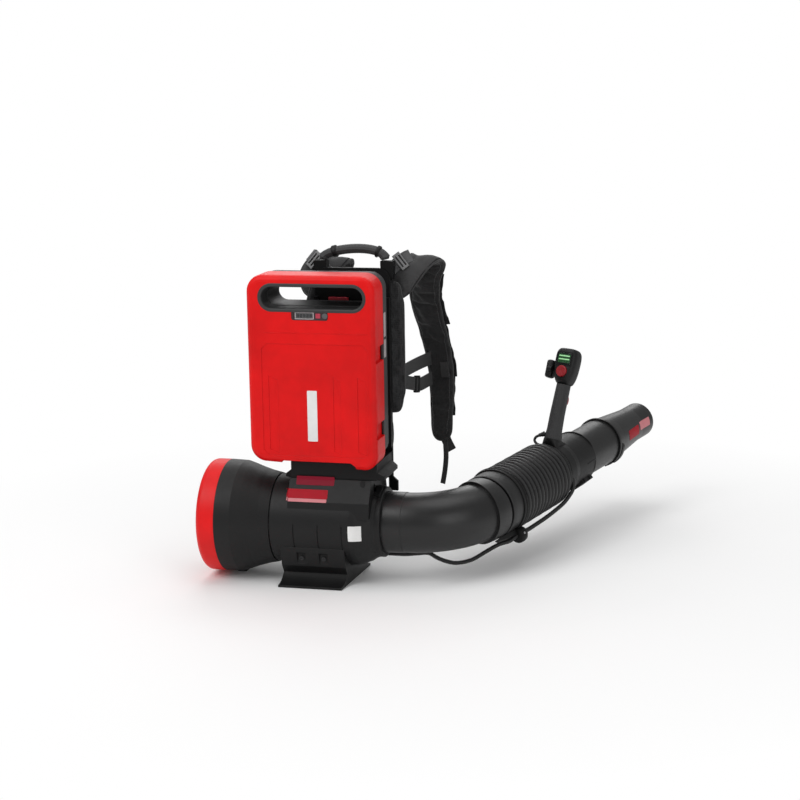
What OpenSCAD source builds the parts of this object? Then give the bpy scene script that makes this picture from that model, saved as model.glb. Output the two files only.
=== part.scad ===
// Backpack leaf blower: fan unit, battery, harness, elbow, ribbed hose and tubes.
// Origin: centre of the base on the ground, under the fan axis.
// +X runs along the fan axis to the outlet, +Y towards the wearer, +Z up.

/* [Fan unit] */
// Height of the drum above the ground
drum_lift = 26; // [24:1:30]
// Outer radius of the fan housing drum
drum_r = 80; // [77:0.5:82]
// Wall of the fan housing
housing_wall = 4; // [3:0.5:5]
// Distance from the base centre to the drum's intake end
drum_left = 82; // [74:1:88]
// Distance from the base centre to the drum's outlet end
drum_right = 74; // [68:1:78]
// Length of the shoulder that narrows to the outlet
shoulder_len = 31; // [28:1:36]
// Length of the outlet collar
collar_len = 13; // [11:1:18]
// Wall of the outlet collar around the elbow
collar_wall = 8.5; // [7:0.5:10]
// Depth of the steps in the drum's front
step_depth = 1.6; // [1:0.1:2]

/* [Intake] */
// Length of the black intake bell
bell_len = 96; // [86:1:104]
// Outer radius of the bell's wide end
bell_r = 102; // [98:0.5:103]
// Wall of the bell
bell_wall = 3; // [2.5:0.5:4]
// Length of the red intake ring
ring_len = 36; // [32:1:42]
// Radius of the rounded lip of the intake ring
lip_r = 11.5; // [10:0.5:12]
// Number of rings in the intake guard
guard_rings = 5; // [4:1:6]
// Thickness of the guard's bars
guard_bar = 3; // [2.5:0.5:4]

/* [Fan and motor] */
// Running gap between the blade tips and the housing
tip_gap = 1.5; // [1:0.1:2]
// Radius of the fan hub
hub_r = 36; // [32:1:38]
// Length of the fan hub
hub_len = 38; // [32:1:42]
// Number of fan blades
blade_count = 9; // [7:1:10]
// Number of guide vanes
vane_count = 8; // [6:1:10]
// Radius of the motor shaft
shaft_r = 5; // [4:0.5:6]
// Radial clearance between the shaft and its bearings
shaft_fit = 0.05; // [0.03:0.01:0.08]
// Length of the motor pod
pod_len = 66; // [60:1:70]

/* [Base] */
// Half the width of the base
base_half_w = 63; // [58:1:68]
// Distance from the fan axis to the front edge of the base
base_front = 90; // [84:1:96]
// Distance from the fan axis to the rear edge of the base
base_rear = 80; // [76:1:90]
// Thickness of the base's walls
base_wall = 5; // [4:0.5:6]
// Height of the hollow under the base
base_hollow = 16; // [12:1:18]

/* [Dock and frame] */
// Centre of the harness along X
harness_x = 43; // [38:1:48]
// Rise of the battery's seat above the drum
dock_rise = 36; // [34:1:40]
// Width of the dock
dock_w = 182; // [170:2:190]
// Centre of the dock along X
dock_x = 33; // [30:1:36]
// Distance from the fan axis to the back face of the frame plate
frame_back = 70; // [68:1:74]
// Thickness of the frame plate
frame_t = 6; // [5:0.5:8]
// Half the width of the frame plate
frame_half_w = 70; // [66:1:72]
// Drop of the frame plate's top edge below the battery's
frame_drop = 1; // [0:1:4]
// Width of the carry handle between its roots
carry_w = 132; // [124:2:140]
// Thickness of the carry handle's grip
carry_t = 17; // [15:1:20]
// Rise of the carry handle above the frame
carry_rise = 38; // [35:1:42]

/* [Battery] */
// Half the width of the battery
pack_half_w = 117; // [114:1:120]
// Height of the battery
pack_h = 335; // [325:1:345]
// Distance from the fan axis to the battery's front face
pack_front = 65; // [62:1:68]
// Depth of the red front cover
cover_depth = 60; // [56:1:64]
// Depth of the grey rear shell
shell_depth = 44; // [40:1:46]
// Wall of the battery's shells
pack_wall = 3; // [2.5:0.5:4]
// Radius of the battery's upper corners
pack_corner = 30; // [26:1:34]
// Width of the bevel around the front face
pack_bevel = 12; // [8:1:14]
// Height of the handle slot
slot_h = 42; // [38:1:45]
// Half the width of the handle slot
slot_half_w = 94; // [88:1:97]
// Distance from the slot's lower edge to the top of the battery
slot_drop = 60; // [58:1:64]
// Radius of a battery cell
cell_r = 10.6; // [10:0.1:10.8]
// Length of a battery cell
cell_len = 70; // [66:1:72]
// Distance between cell centres
cell_pitch = 23; // [22.4:0.1:23.4]

/* [Elbow and hose] */
// Outer radius of the elbow duct
duct_r = 55; // [52:0.5:57]
// Wall of the elbow duct
duct_wall = 3.5; // [3:0.5:4.5]
// Radial clearance of the elbow in the outlet collar
swivel_fit = 0.08; // [0.05:0.01:0.1]
// Straight length of the elbow before its bend
elbow_lead = 34; // [28:1:38]
// Radius of the elbow's bend
elbow_bend_r = 135; // [128:1:142]
// Angle of the elbow's bend
elbow_bend = 69.5; // [64:0.5:72]
// Turn of the elbow about the fan axis at rest
elbow_turn = 6; // [2:0.5:8]
// Outer radius of the ribbed hose
hose_r = 62; // [60:0.5:64]
// Depth of the hose's ribs
rib_depth = 5; // [4:0.5:6]
// Distance between ribs
rib_pitch = 12.2; // [11.5:0.1:12.8]
// Number of ribs
rib_count = 13; // [12:1:13]
// Wall of the hose
hose_wall = 2.5; // [2:0.5:3]
// Length of the hose's plain cuff over the elbow
cuff_len = 48; // [44:1:50]
// Length of the hose's plain cuff over the tube
front_cuff_len = 11; // [9:1:12]

/* [Tubes] */
// Outer radius of the inner tube under the handle sleeve
tube_r = 46; // [45:0.5:47]
// Wall of the tubes
tube_wall = 2.5; // [2:0.5:3]
// Outer radius of the handle sleeve
sleeve_r = 50; // [49:0.5:52]
// Length of the handle sleeve
sleeve_len = 99; // [94:1:104]
// Length of the tube that shows between sleeve and nozzle
mid_len = 107; // [95:1:115]
// Length of the nozzle
nozzle_len = 163; // [150:1:180]
// Outer radius of the nozzle's end
nozzle_r = 35.5; // [34:0.5:38]
// Length of the nozzle's straight end
nozzle_end = 45; // [40:1:55]
// Radial clearance between tubes that turn in each other
tube_fit = 0.3; // [0.25:0.05:0.4]

/* [Control handle] */
// Lean of the grip towards the nozzle
grip_lean = 25; // [20:1:30]
// Length of the grip from the sleeve to the head
grip_len = 118; // [110:1:126]
// Width of the grip
grip_w = 27; // [25:0.5:30]
// Depth of the grip
grip_d = 34; // [31:0.5:37]
// Height of the control head
head_h = 70; // [64:1:74]
// Width of the control head
head_w = 46; // [42:1:50]
// Depth of the control head
head_d = 40; // [36:1:44]
// Radius of the red button
button_r = 11; // [9:0.5:12]
// Clearance around moving keys and levers
key_gap = 0.4; // [0.3:0.05:0.5]

/* [Harness] */
// Thickness of the back pad
pad_t = 26; // [22:1:30]
// Half the width of the back pad
pad_half_w = 90; // [84:1:94]
// Half the width of a shoulder strap's pad
strap_half_w = 29; // [26:1:32]
// Thickness of a shoulder strap's pad
strap_t = 15; // [12:1:18]
// Width of the webbing
web_w = 16; // [14:1:20]
// Thickness of the webbing
web_t = 2.4; // [2:0.2:3]
// Radius of the control cable
cable_r = 4; // [3.5:0.1:4.4]

/* [Hidden] */
$fn = 64;

// Clearance between pieces that sit on each other
seat = 0.3;
axis_z = drum_lift + drum_r;
dock_top = axis_z + drum_r + dock_rise;
frame_top = dock_top + pack_h - frame_drop;
outlet_x = drum_right + shoulder_len + collar_len;
bore_r = drum_r - housing_wall;
collar_r = duct_r + collar_wall;
bell_x = -drum_left - bell_len;
ring_x = bell_x - ring_len;

// Points of an arc about [cx, cy] from angle a to angle b in n steps
function arc(cx, cy, r, a, b, n = 12) =
  [for (i = [0:n]) [cx + r * cos(a + (b - a) * i / n), cy + r * sin(a + (b - a) * i / n)]];
// Corner points of a rectangle with rounded corners, given its half sizes
function round_rect(w, h, r, n = 6) = concat(
  arc(w - r, h - r, r, 0, 90, n), arc(r - w, h - r, r, 90, 180, n),
  arc(r - w, r - h, r, 180, 270, n), arc(w - r, r - h, r, 270, 360, n));
function unit(v) = v / norm(v);

// Places a revolved profile on the fan axis: its z becomes x
module on_fan_axis() translate([0, 0, axis_z]) rotate([0, 90, 0]) children();
// Revolves points given as [radius, x] about the fan axis
module fan_turned(points) on_fan_axis() rotate_extrude($fn = 96) polygon(points);
// Places a child given in the elbow's own plane, its x along the fan axis
module in_elbow() translate([outlet_x, 0, axis_z]) rotate([elbow_turn, 0, 0]) children();
// Places a child in the hose's line: x along the hose from the elbow's end, z up
module in_tube(s = 0)
  in_elbow()
    translate([elbow_lead + elbow_bend_r * sin(elbow_bend), elbow_bend_r * (1 - cos(elbow_bend)), 0])
      rotate([0, 0, elbow_bend]) translate([s, 0, 0]) children();
// Revolves points given as [radius, x] about the hose's line
module tube_turned(points) in_tube() rotate([0, 90, 0]) rotate_extrude($fn = 96) polygon(points);
// Stands a flat outline given in x and z up, with its depth along +y
module upright(y, depth) translate([0, y + depth, 0]) rotate([90, 0, 0]) linear_extrude(depth) children();

// Joins rings of points into one closed tube with triangle faces
module loft(rings) {
  m = len(rings[0]);
  n = len(rings);
  points = [for (r = rings) each r];
  sides = [for (i = [0:n - 2], j = [0:m - 1]) each
    [[i * m + j, (i + 1) * m + j, (i + 1) * m + (j + 1) % m],
     [i * m + j, (i + 1) * m + (j + 1) % m, i * m + (j + 1) % m]]];
  ends = [for (j = [1:m - 2]) each [[0, j, j + 1], [(n - 1) * m, (n - 1) * m + j + 1, (n - 1) * m + j]]];
  polyhedron(points, concat(sides, ends));
}
// Direction of a path at point i
function heading(path, i) =
  unit(path[min(i + 1, len(path) - 1)] - path[max(i - 1, 0)]);
// Smooth curve through the points p, n steps a span
function catmull(a, b, c, d, t) =
  0.5 * ((2 * b) + (c - a) * t + (2 * a - 5 * b + 4 * c - d) * t * t + (3 * b - a - 3 * c + d) * t * t * t);
function smooth(p, n = 4) = concat(
  [for (i = [0:len(p) - 2], k = [0:n - 1])
    catmull(p[max(i - 1, 0)], p[i], p[i + 1], p[min(i + 2, len(p) - 1)], k / n)],
  [p[len(p) - 1]]);
// Sweeps an outline of [across, through] points along a path; side is the across direction
module sweep(path, side, outlines) {
  loft([for (i = [0:len(path) - 1])
    let (t = heading(path, i), s = unit(side[i] - (side[i] * t) * t), u = cross(t, s), o = outlines[i])
    [for (q = o) path[i] + s * q[0] + u * q[1]]]);
}
// A round cable along a path
module cable(path, r = cable_r, sides = 8) {
  outline = [for (j = [0:sides - 1]) [r * cos(360 * j / sides), r * sin(360 * j / sides)]];
  sweep(path, [for (p = path) [0.31, 0.2, 0.93]], [for (p = path) outline]);
}
// Cushion outline: w across, t through, its middle crowned and its edges drawn in
function cushion(w, t, n = 16) =
  [for (j = [0:n - 1]) let (a = 360 * (j + 0.5) / n)
    [w * sign(cos(a)) * pow(abs(cos(a)), 0.55), t * sign(sin(a)) * pow(abs(sin(a)), 0.8)]];

// ---------------------------------------------------------------- fan unit

drum_outline = [
  [drum_r - 2, -drum_left], [drum_r, -drum_left + 2], [drum_r, drum_right - 8],
  [drum_r - 1, drum_right], [drum_r - 4, drum_right + 8], [collar_r + 8, drum_right + shoulder_len - 12],
  [collar_r + 2, drum_right + shoulder_len - 3], [collar_r, drum_right + shoulder_len + 3],
  [collar_r, outlet_x - 1.5], [collar_r - 1.5, outlet_x]];
spigot_r = duct_r + swivel_fit;
spigot_len = collar_len + 4;
throat_r = duct_r - duct_wall;
drum_bore = [
  [0, -drum_left - 1], [bore_r, -drum_left - 1], [bore_r, drum_right - 4],
  [throat_r, outlet_x - spigot_len], [0, outlet_x - spigot_len]];
neck_half = dock_w / 2 - 10;
neck_top = dock_top - 30;
step_x = [-37, 8, 52];
step_w = 2.4;
pocket_w = 17;
pocket_z = 38;
pocket_h = 22;
pocket_front = drum_r - 6;
// The screw pockets end just behind the drum's surface at their top
pocket_back = sqrt(pow(drum_r, 2) - pow(axis_z - pocket_z - pocket_h, 2)) - 1.45;
screw_r = 4;
lug_x = 101;
lug_y = -26;
lug_tilt = 26;

module lug() {
  translate([lug_x, lug_y, axis_z + collar_r - 1]) rotate([lug_tilt, 8, 0]) children();
}
module fan_housing() color([0.13, 0.13, 0.14]) difference() {
  union() {
    fan_turned(concat([[0, -drum_left]], drum_outline, [[0, outlet_x]]));
    // Saddle that carries the dock, its front sloping back to the battery
    translate([dock_x - neck_half, 0, 0]) rotate([90, 0, 90]) linear_extrude(2 * neck_half - 12)
      polygon([[6 - drum_r, axis_z + 20], [10 - drum_r, axis_z + 48], [-50, neck_top], [50, neck_top],
        [58, axis_z + 58], [drum_r - 14, axis_z + 30]]);
    // Boss under the shoulder that the control cable leaves
    beside_fan() translate([drum_right - 4, cable_a[0][1], cable_a[0][2]]) rotate([0, 90, 0])
      cylinder(h = cable_a[0][0] - drum_right + 4 - seat, r = cable_r + 2.5, $fn = 32);
    // Lug beside the outlet
    hull() {
      lug() translate([-13, -12, -16]) cube([26, 24, 18]);
      translate([drum_right - 10, -24, axis_z + drum_r - 28]) cube([10, 30, 20]);
    }
  }
  fan_turned(drum_bore);
  on_fan_axis() translate([0, 0, outlet_x - spigot_len - 0.01])
    cylinder(h = spigot_len + 1, r = spigot_r, $fn = 96);
  // Steps down the drum's front
  for (x = step_x) translate([x, 0, axis_z]) rotate([0, 90, 0]) rotate([0, 0, 264])
    rotate_extrude(angle = 58, $fn = 96) translate([drum_r - step_depth, 0]) square([step_depth + 2, step_w]);
  lug() hull() for (s = [-1, 1]) translate([0, 2.5 * s, -16]) cylinder(h = 30, r = 3, $fn = 24);
}

module housing_screws() color([0.45, 0.45, 0.47])
  for (x = [step_x[0] + 12, step_x[1] + 8])
    translate([x, -pocket_back - 0.1, pocket_z + pocket_h / 2]) rotate([90, 0, 0]) difference() {
      cylinder(h = 3, r = screw_r, $fn = 32);
      translate([0, 0, 1.5]) cylinder(h = 4, r = 2.2, $fn = 6);
    }

bell_top = [[0, 0], [0.14, 0.02], [0.3, 0.05], [0.45, 0.27], [0.62, 0.55], [0.8, 0.8], [1, 1]];
// Outer radius of the bell at a share q of its length from the wide end
bell_small_r = drum_r + 1.2;
function bell_profile(inset) =
  [for (p = bell_top) [bell_r - inset - (bell_r - bell_small_r) * p[1], bell_x + bell_len * p[0]]];
module intake_bell() color([0.12, 0.12, 0.13]) {
  difference() {
    union() {
      fan_turned(concat([[0, bell_x]], bell_profile(0), [[0, -drum_left]]));
      // Small rest lug under the wide end
      translate([bell_x + 14, -12, axis_z - bell_r - 1.5]) cube([16, 24, 12]);
    }
    fan_turned(concat([[0, bell_x - 1], [bell_r - bell_wall, bell_x - 1]],
      [for (p = bell_profile(bell_wall)) p], [[0, -drum_left + 1]]));
  }
}

// Red lip: a skirt that continues the bell and a rounded edge that turns inwards
lip_wall = 3;
mouth_r = bell_r - 2 * lip_r;
lip_x = ring_x + lip_r;
module intake_ring() color([0.82, 0.1, 0.12]) fan_turned(concat(
  [[bell_r, bell_x - 0.1]],
  arc(bell_r - lip_r, lip_x, lip_r, 0, -180, 20),
  [[mouth_r + 1, lip_x + 10], [mouth_r + 5, bell_x + 2], [mouth_r + 5 + lip_wall, bell_x + 2],
   [mouth_r + 1 + lip_wall, lip_x + 10]],
  arc(bell_r - lip_r, lip_x, lip_r - lip_wall, -180, 0, 20),
  [[bell_r - lip_wall, bell_x - 0.1]]));

guard_x = bell_x + 8;
guard_out = bell_r - bell_wall - 1.2;
module intake_guard() color([0.08, 0.08, 0.09]) {
  for (i = [1:guard_rings]) let (r = guard_out * i / guard_rings)
    fan_turned([[r - guard_bar, guard_x], [r, guard_x], [r, guard_x + 5], [r - guard_bar, guard_x + 5]]);
  on_fan_axis() translate([0, 0, guard_x]) {
    for (i = [0:7]) rotate([0, 0, 45 * i + 22.5]) translate([0, -guard_bar / 2, 0])
      cube([guard_out - guard_bar / 2, guard_bar, 5]);
    cylinder(h = 6, r = 12);
  }
}

fan_x = -62;
pod_x = fan_x + hub_len + 4;
pod_r = hub_r - 1;
// Aerofoil section at radius r: chord along the flow, set at an angle that falls towards the tip
function blade_ring(r, n = 10) = let (
    q = (r - hub_r) / (bore_r - hub_r), pitch = 34 + 24 * q, chord = 34 - 3 * q, sweep_back = 10 * q)
  [for (j = [0:n - 1]) let (
      a = -360 * j / n, c = chord / 2 * cos(a), t = 1.7 * sin(a) * (1 + 0.35 * cos(a)),
      camber = 3.4 * (1 - pow(cos(a), 2)),
      x = c * cos(pitch) - (t + camber) * sin(pitch), w = c * sin(pitch) + (t + camber) * cos(pitch),
      ang = (w + sweep_back) / r * 57.3)
    [r * cos(ang), r * sin(ang), x]];
module impeller() color([0.1, 0.1, 0.11]) {
  tip = bore_r - tip_gap;
  root = hub_r - 2.5;
  on_fan_axis() translate([0, 0, fan_x + hub_len / 2]) for (k = [0:blade_count - 1])
    rotate([0, 0, 360 * k / blade_count]) loft([for (i = [0:5]) blade_ring(root + (tip - root) * i / 5)]);
  difference() {
    fan_turned(concat([[0, fan_x - 14]], arc(0, fan_x + 2, 16, 270, 300, 3),
      [[hub_r - 8, fan_x - 4], [hub_r - 2, fan_x + 4], [hub_r, fan_x + 12], [hub_r, fan_x + hub_len],
       [hub_r - 4, fan_x + hub_len], [hub_r - 4, fan_x + 12], [shaft_r + 8, fan_x + 4],
       [shaft_r + 8, fan_x + hub_len - 2], [0, fan_x + hub_len - 2]]));
    on_fan_axis() translate([0, 0, fan_x + 2]) cylinder(h = hub_len, r = shaft_r);
  }
}

bearing_w = 8;
bearing_r = 13;
motor_end = pod_x + pod_len - 4;
module motor_shaft() color([0.6, 0.6, 0.62])
  on_fan_axis() translate([0, 0, fan_x + 2]) cylinder(h = motor_end - fan_x - 2, r = shaft_r);
rotor_r = 17;
rotor_x = pod_x + 14;
rotor_len = pod_len - 32;
module motor_rotor() color([0.4, 0.4, 0.42])
  fan_turned([[shaft_r, rotor_x], [rotor_r, rotor_x], [rotor_r, rotor_x + rotor_len],
    [shaft_r, rotor_x + rotor_len]]);

pod_wall = 3;
module motor_pod() color([0.11, 0.11, 0.12]) {
  // Inner pod with two bearing seats
  fan_turned([[pod_r - pod_wall, pod_x + 3], [pod_r - 2, pod_x], [pod_r, pod_x + 2], [pod_r, pod_x + pod_len],
    [pod_r - pod_wall, pod_x + pod_len]]);
  for (x = [pod_x + 3, pod_x + pod_len - 3 - bearing_w])
    fan_turned([[bearing_r, x], [pod_r - 1, x], [pod_r - 1, x + bearing_w], [bearing_r, x + bearing_w]]);
  // Guide vanes and the ring that seats in the drum
  fan_turned([[bore_r - 3, pod_x + 8], [bore_r - 0.15, pod_x + 8], [bore_r - 0.15, pod_x + 40],
    [bore_r - 3, pod_x + 40]]);
  on_fan_axis() translate([0, 0, pod_x + 10]) for (k = [0:vane_count - 1])
    rotate([0, 0, 360 * (k + 0.5) / vane_count]) translate([pod_r - 1, -1.25, 0])
      cube([bore_r - pod_r - 1, 2.5, 28]);
}
module motor_bearings() color([0.7, 0.7, 0.72])
  for (x = [pod_x + 3, pod_x + pod_len - 3 - bearing_w])
    fan_turned([[shaft_r + shaft_fit, x], [bearing_r, x], [bearing_r, x + bearing_w],
      [shaft_r + shaft_fit, x + bearing_w]]);
stator_r = pod_r - pod_wall;
module motor_stator() color([0.5, 0.28, 0.12]) difference() {
  fan_turned([[rotor_r + 0.6, rotor_x - 1], [stator_r - 5, rotor_x - 1], [stator_r - 5, rotor_x + 3],
    [stator_r, rotor_x + 3], [stator_r, rotor_x + rotor_len - 3], [stator_r - 5, rotor_x + rotor_len - 3],
    [stator_r - 5, rotor_x + rotor_len + 1], [rotor_r + 0.6, rotor_x + rotor_len + 1]]);
  // Winding slots
  on_fan_axis() translate([0, 0, rotor_x - 2]) for (k = [0:11]) rotate([0, 0, 30 * k])
    translate([(rotor_r + stator_r) / 2 - 1, 0, 0]) cylinder(h = rotor_len + 4, r = 2.2, $fn = 16);
}
module tail_cone() color([0.11, 0.11, 0.12]) fan_turned([
  [0, pod_x + pod_len + seat / 3], [pod_r, pod_x + pod_len + seat / 3], [pod_r - 4, pod_x + pod_len + 12],
  [pod_r - 14, pod_x + pod_len + 30], [10, pod_x + pod_len + 46], [4, pod_x + pod_len + 52],
  [0, pod_x + pod_len + 53]]);

// Base: side outline swept across, hollow below, cut to the drum
scoop_r = 46;
base_slant = -3;
// How far a concave side of radius r has gone in at the top of the hollow
function scoop_in(r) = sqrt(pow(r, 2) - pow(r + 4 - base_hollow, 2)) + base_wall;
rear_scoop_r = scoop_r * 0.6;
module base_foot() color([0.12, 0.12, 0.13]) difference() {
  translate([-base_half_w, 0, 0]) rotate([90, 0, 90]) linear_extrude(2 * base_half_w) polygon(concat(
    [[-base_front, 0], [-base_front, 4]],
    arc(-base_front + 2, 4 + scoop_r, scoop_r, 270, 318, 8),
    [[16 - drum_r, 34], [-pocket_front + 4, 60], [-pocket_front + 2, 72], [0, 72],
     [pocket_front - 6, 66], [base_rear - 14, 40]],
    arc(base_rear - 1, 4 + rear_scoop_r, rear_scoop_r, 230, 270, 5),
    [[base_rear, 4], [base_rear, 0]]));
  on_fan_axis() translate([0, 0, -base_half_w - 1])
    cylinder(h = 2 * base_half_w + 2, r = drum_r + 0.2, $fn = 96);
  // Right end, set at a slant
  translate([base_half_w, base_rear, -1]) rotate([0, 0, base_slant])
    translate([0, -base_front - base_rear - 30, 0]) cube([30, base_front + base_rear + 60, 90]);
  // Four hollows under the base leave a rim and a cross of ribs
  for (sx = [0, 1], sy = [0, 1]) let (
      x0 = sx ? base_wall / 2 : -base_half_w + base_wall,
      x1 = sx ? base_half_w - base_wall - 8 : -base_wall / 2,
      y0 = sy ? base_wall / 2 : -base_front + 2 + scoop_in(scoop_r),
      y1 = sy ? base_rear - 1 - scoop_in(rear_scoop_r) : -base_wall / 2)
    translate([x0, y0, -1]) cube([x1 - x0, y1 - y0, base_hollow + 1]);
  // Screw pockets in the front
  for (x = [step_x[0] + 12, step_x[1] + 8])
    translate([x - pocket_w / 2, -pocket_front - 10, pocket_z])
      cube([pocket_w, pocket_front + 10 - pocket_back, pocket_h]);
}

// ---------------------------------------------------------------- dock and frame

dock_front = 48;
dock_back = frame_back - frame_t;
latch_x = 20;
latch_half = 18;
contact_count = 4;
contact_pitch = 11;
module dock_block() color([0.07, 0.07, 0.08]) difference() {
  union() {
    translate([dock_x - dock_w / 2 + 12, -dock_front, neck_top])
      cube([dock_w - 24, dock_front + dock_back, dock_top - neck_top - seat]);
    // Flared lower edge over the saddle
    hull() {
      translate([dock_x - dock_w / 2, -dock_front + 8, neck_top])
        cube([dock_w, dock_front + dock_back - 16, 6]);
      translate([dock_x - dock_w / 2 + 12, -dock_front + 2, neck_top])
        cube([dock_w - 24, dock_front + dock_back - 4, 14]);
    }
  }
  // Chamber for the controller board
  translate([dock_x - 62, -34, neck_top + 5]) cube([124, 70, 16]);
  // Slots for the contacts
  for (i = [0:contact_count - 1]) translate([contact_x(i) - 1.4, -14.4, neck_top + 16]) cube([2.8, 22.8, 30]);
}
function contact_x(i) = (i - (contact_count - 1) / 2) * contact_pitch;
module dock_contacts() color([0.8, 0.62, 0.25])
  for (i = [0:contact_count - 1]) translate([contact_x(i) - 1.2, -14, neck_top + 14.5])
    cube([2.4, 22, dock_top - neck_top - 14.5 + 11]);
module controller_board() color([0.05, 0.3, 0.15]) translate([dock_x - 58, -30, neck_top + 5]) {
  cube([116, 62, 1.8]);
  for (x = [12, 46, 80]) translate([x, 40, 1.8]) cube([20, 14, 7]);
  for (x = [20, 60, 96]) translate([x, 14, 1.8]) cylinder(h = 7.2, r = 6);
}

frame_low = dock_top - 50;
module frame_outline() {
  polygon(concat(
    [[harness_x - frame_half_w, frame_low], [harness_x + frame_half_w - 8, frame_low],
     [harness_x + frame_half_w - 8, frame_low - 24], [harness_x + frame_half_w + 9, frame_low - 24],
     [harness_x + frame_half_w + 9, frame_low - 6], [harness_x + frame_half_w, frame_low + 2]],
    arc(harness_x + frame_half_w - 22, frame_top - 22, 22, 0, 90, 6),
    arc(harness_x - frame_half_w + 22, frame_top - 22, 22, 90, 180, 6)));
}
// Lightening windows of the frame: [x, z, width, height]
window_w = 34;
window_h = 70;
frame_windows = [for (x = [-44, 10], z = [dock_top + 18, dock_top + 108]) [x, z, window_w, window_h]];
module back_frame() color([0.1, 0.1, 0.11]) difference() {
  union() {
    upright(frame_back - frame_t, frame_t) frame_outline();
    // Side rails stiffen the plate towards the battery
    for (s = [-1, 1])
      translate([harness_x + s * (frame_half_w - 3.5) - 3.5, frame_back - frame_t - 8, dock_top + 8])
        cube([7, 9, frame_top - dock_top - 60]);
    // Lugs of the latch
    for (s = [-1, 1]) translate([latch_x + s * (latch_half + 4.5) - 3, dock_back - latch_d, latch_z - 7])
      cube([6, latch_d + 1, 14]);
  }
  for (w = frame_windows) upright(frame_back - frame_t - 10, frame_t + 12)
    translate([harness_x + w[0] + w[2] / 2, w[1] + w[3] / 2]) polygon(round_rect(w[2] / 2, w[3] / 2, 8));
  // Bores for the latch's trunnions
  translate([latch_x - latch_half - 20, latch_y, latch_z]) rotate([0, 90, 0])
    cylinder(h = 2 * latch_half + 40, r = latch_pin_r + 0.06, $fn = 32);
}
module frame_screws() color([0.5, 0.5, 0.52])
  for (x = [-34, 34], z = [dock_top - 38, dock_top - 14])
    translate([harness_x - 10 + x, frame_back, z + 8]) rotate([-90, 0, 0]) difference() {
      cylinder(h = 3, r = 4.5, $fn = 32);
      translate([0, 0, 1.6]) cylinder(h = 3, r = 2.2, $fn = 6);
    }

latch_d = 16;
latch_pin_r = 2.5;
latch_y = dock_back - 9;
latch_top = dock_top + pack_h - slot_drop + 6;
latch_z = latch_top - 25;
// Release latch: a lever with a thumb tab that shows over the slot's lower edge
module battery_latch() color([0.75, 0.08, 0.1]) {
  translate([latch_x - latch_half, latch_y - 2.5, latch_z - 8])
    cube([2 * latch_half, 5, latch_top - latch_z + 2]);
  translate([latch_x - latch_half, latch_y - 5, latch_top - 6]) cube([2 * latch_half, 7.5, 6]);
  translate([latch_x - latch_half - 4, latch_y, latch_z]) rotate([0, 90, 0])
    cylinder(h = 2 * latch_half + 8, r = latch_pin_r, $fn = 32);
}

carry_y = frame_back + 8;
carry_x = harness_x + 1;
carry_z = frame_top + 12;
carry_lift = 2.4;
carry_skew = 9;
carry_path = [for (i = [0:16]) let (a = 180 - 180 * i / 16)
  [carry_x + (carry_w / 2 - 8) * cos(a) + carry_skew * pow(sin(a), 2), carry_y,
    carry_z + (carry_rise - carry_t / 2 - 10.5) * sin(a) + carry_lift]];
module carry_grip() color([0.13, 0.13, 0.14]) {
  bulge = [for (i = [0:16]) let (q = abs(i - 8) / 8) carry_t / 2 * (q > 0.9 ? 0.78 : q > 0.78 ? 1.12 : 1)];
  sweep(carry_path, [for (p = carry_path) [0, 1, 0]],
    [for (i = [0:16]) [for (j = [0:11]) [bulge[i] * 1.15 * cos(30 * j), bulge[i] * sin(30 * j)]]]);
}
root_back = frame_back + seat / 3 + 17;
module carry_roots() color([0.1, 0.1, 0.11])
  for (s = [-1, 1]) translate([carry_x + s * (carry_w / 2 - 4), 0, 0]) hull() {
    translate([-10, root_back - 17, frame_top - 22]) cube([20, 17, 10]);
    translate([-12, root_back - 17, carry_z - 8]) cube([24, 17, 8]);
  }

// ---------------------------------------------------------------- battery

pack_z0 = dock_top;
pack_top = pack_z0 + pack_h;
slot_z = pack_top - slot_drop + slot_h / 2;
slot_x = 4;
foot_drop = 10;
cover_back = -pack_front + cover_depth;
shell_back = cover_back + shell_depth;
// Outline of the battery seen from the front, drawn in by d all round
module pack_outline(d = 0, drop = 0) polygon(concat(
  arc(pack_half_w - pack_corner, pack_top - pack_corner, pack_corner - d, 0, 90, 8),
  arc(pack_corner - pack_half_w, pack_top - pack_corner, pack_corner - d, 90, 180, 8),
  arc(30 - pack_half_w, pack_z0 + 30, 30 - d, 180, 262, 8),
  [[pack_half_w - 46, pack_z0 + d]],
  arc(pack_half_w - 26, pack_z0 + 26 - drop, 26 - d, 280, 360, 8)));
module slot_outline(d = 0) translate([slot_x, slot_z]) polygon(concat(
  arc(slot_half_w - slot_h / 2, 0, slot_h / 2 - d, -90, 90, 12),
  arc(slot_h / 2 - slot_half_w, 0, slot_h / 2 - d, 90, 270, 12)));
notch_h = 28;
side_notch = [[pack_z0 + pack_h * 0.582, notch_h], [pack_z0 + pack_h * 0.176, notch_h]];
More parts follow.
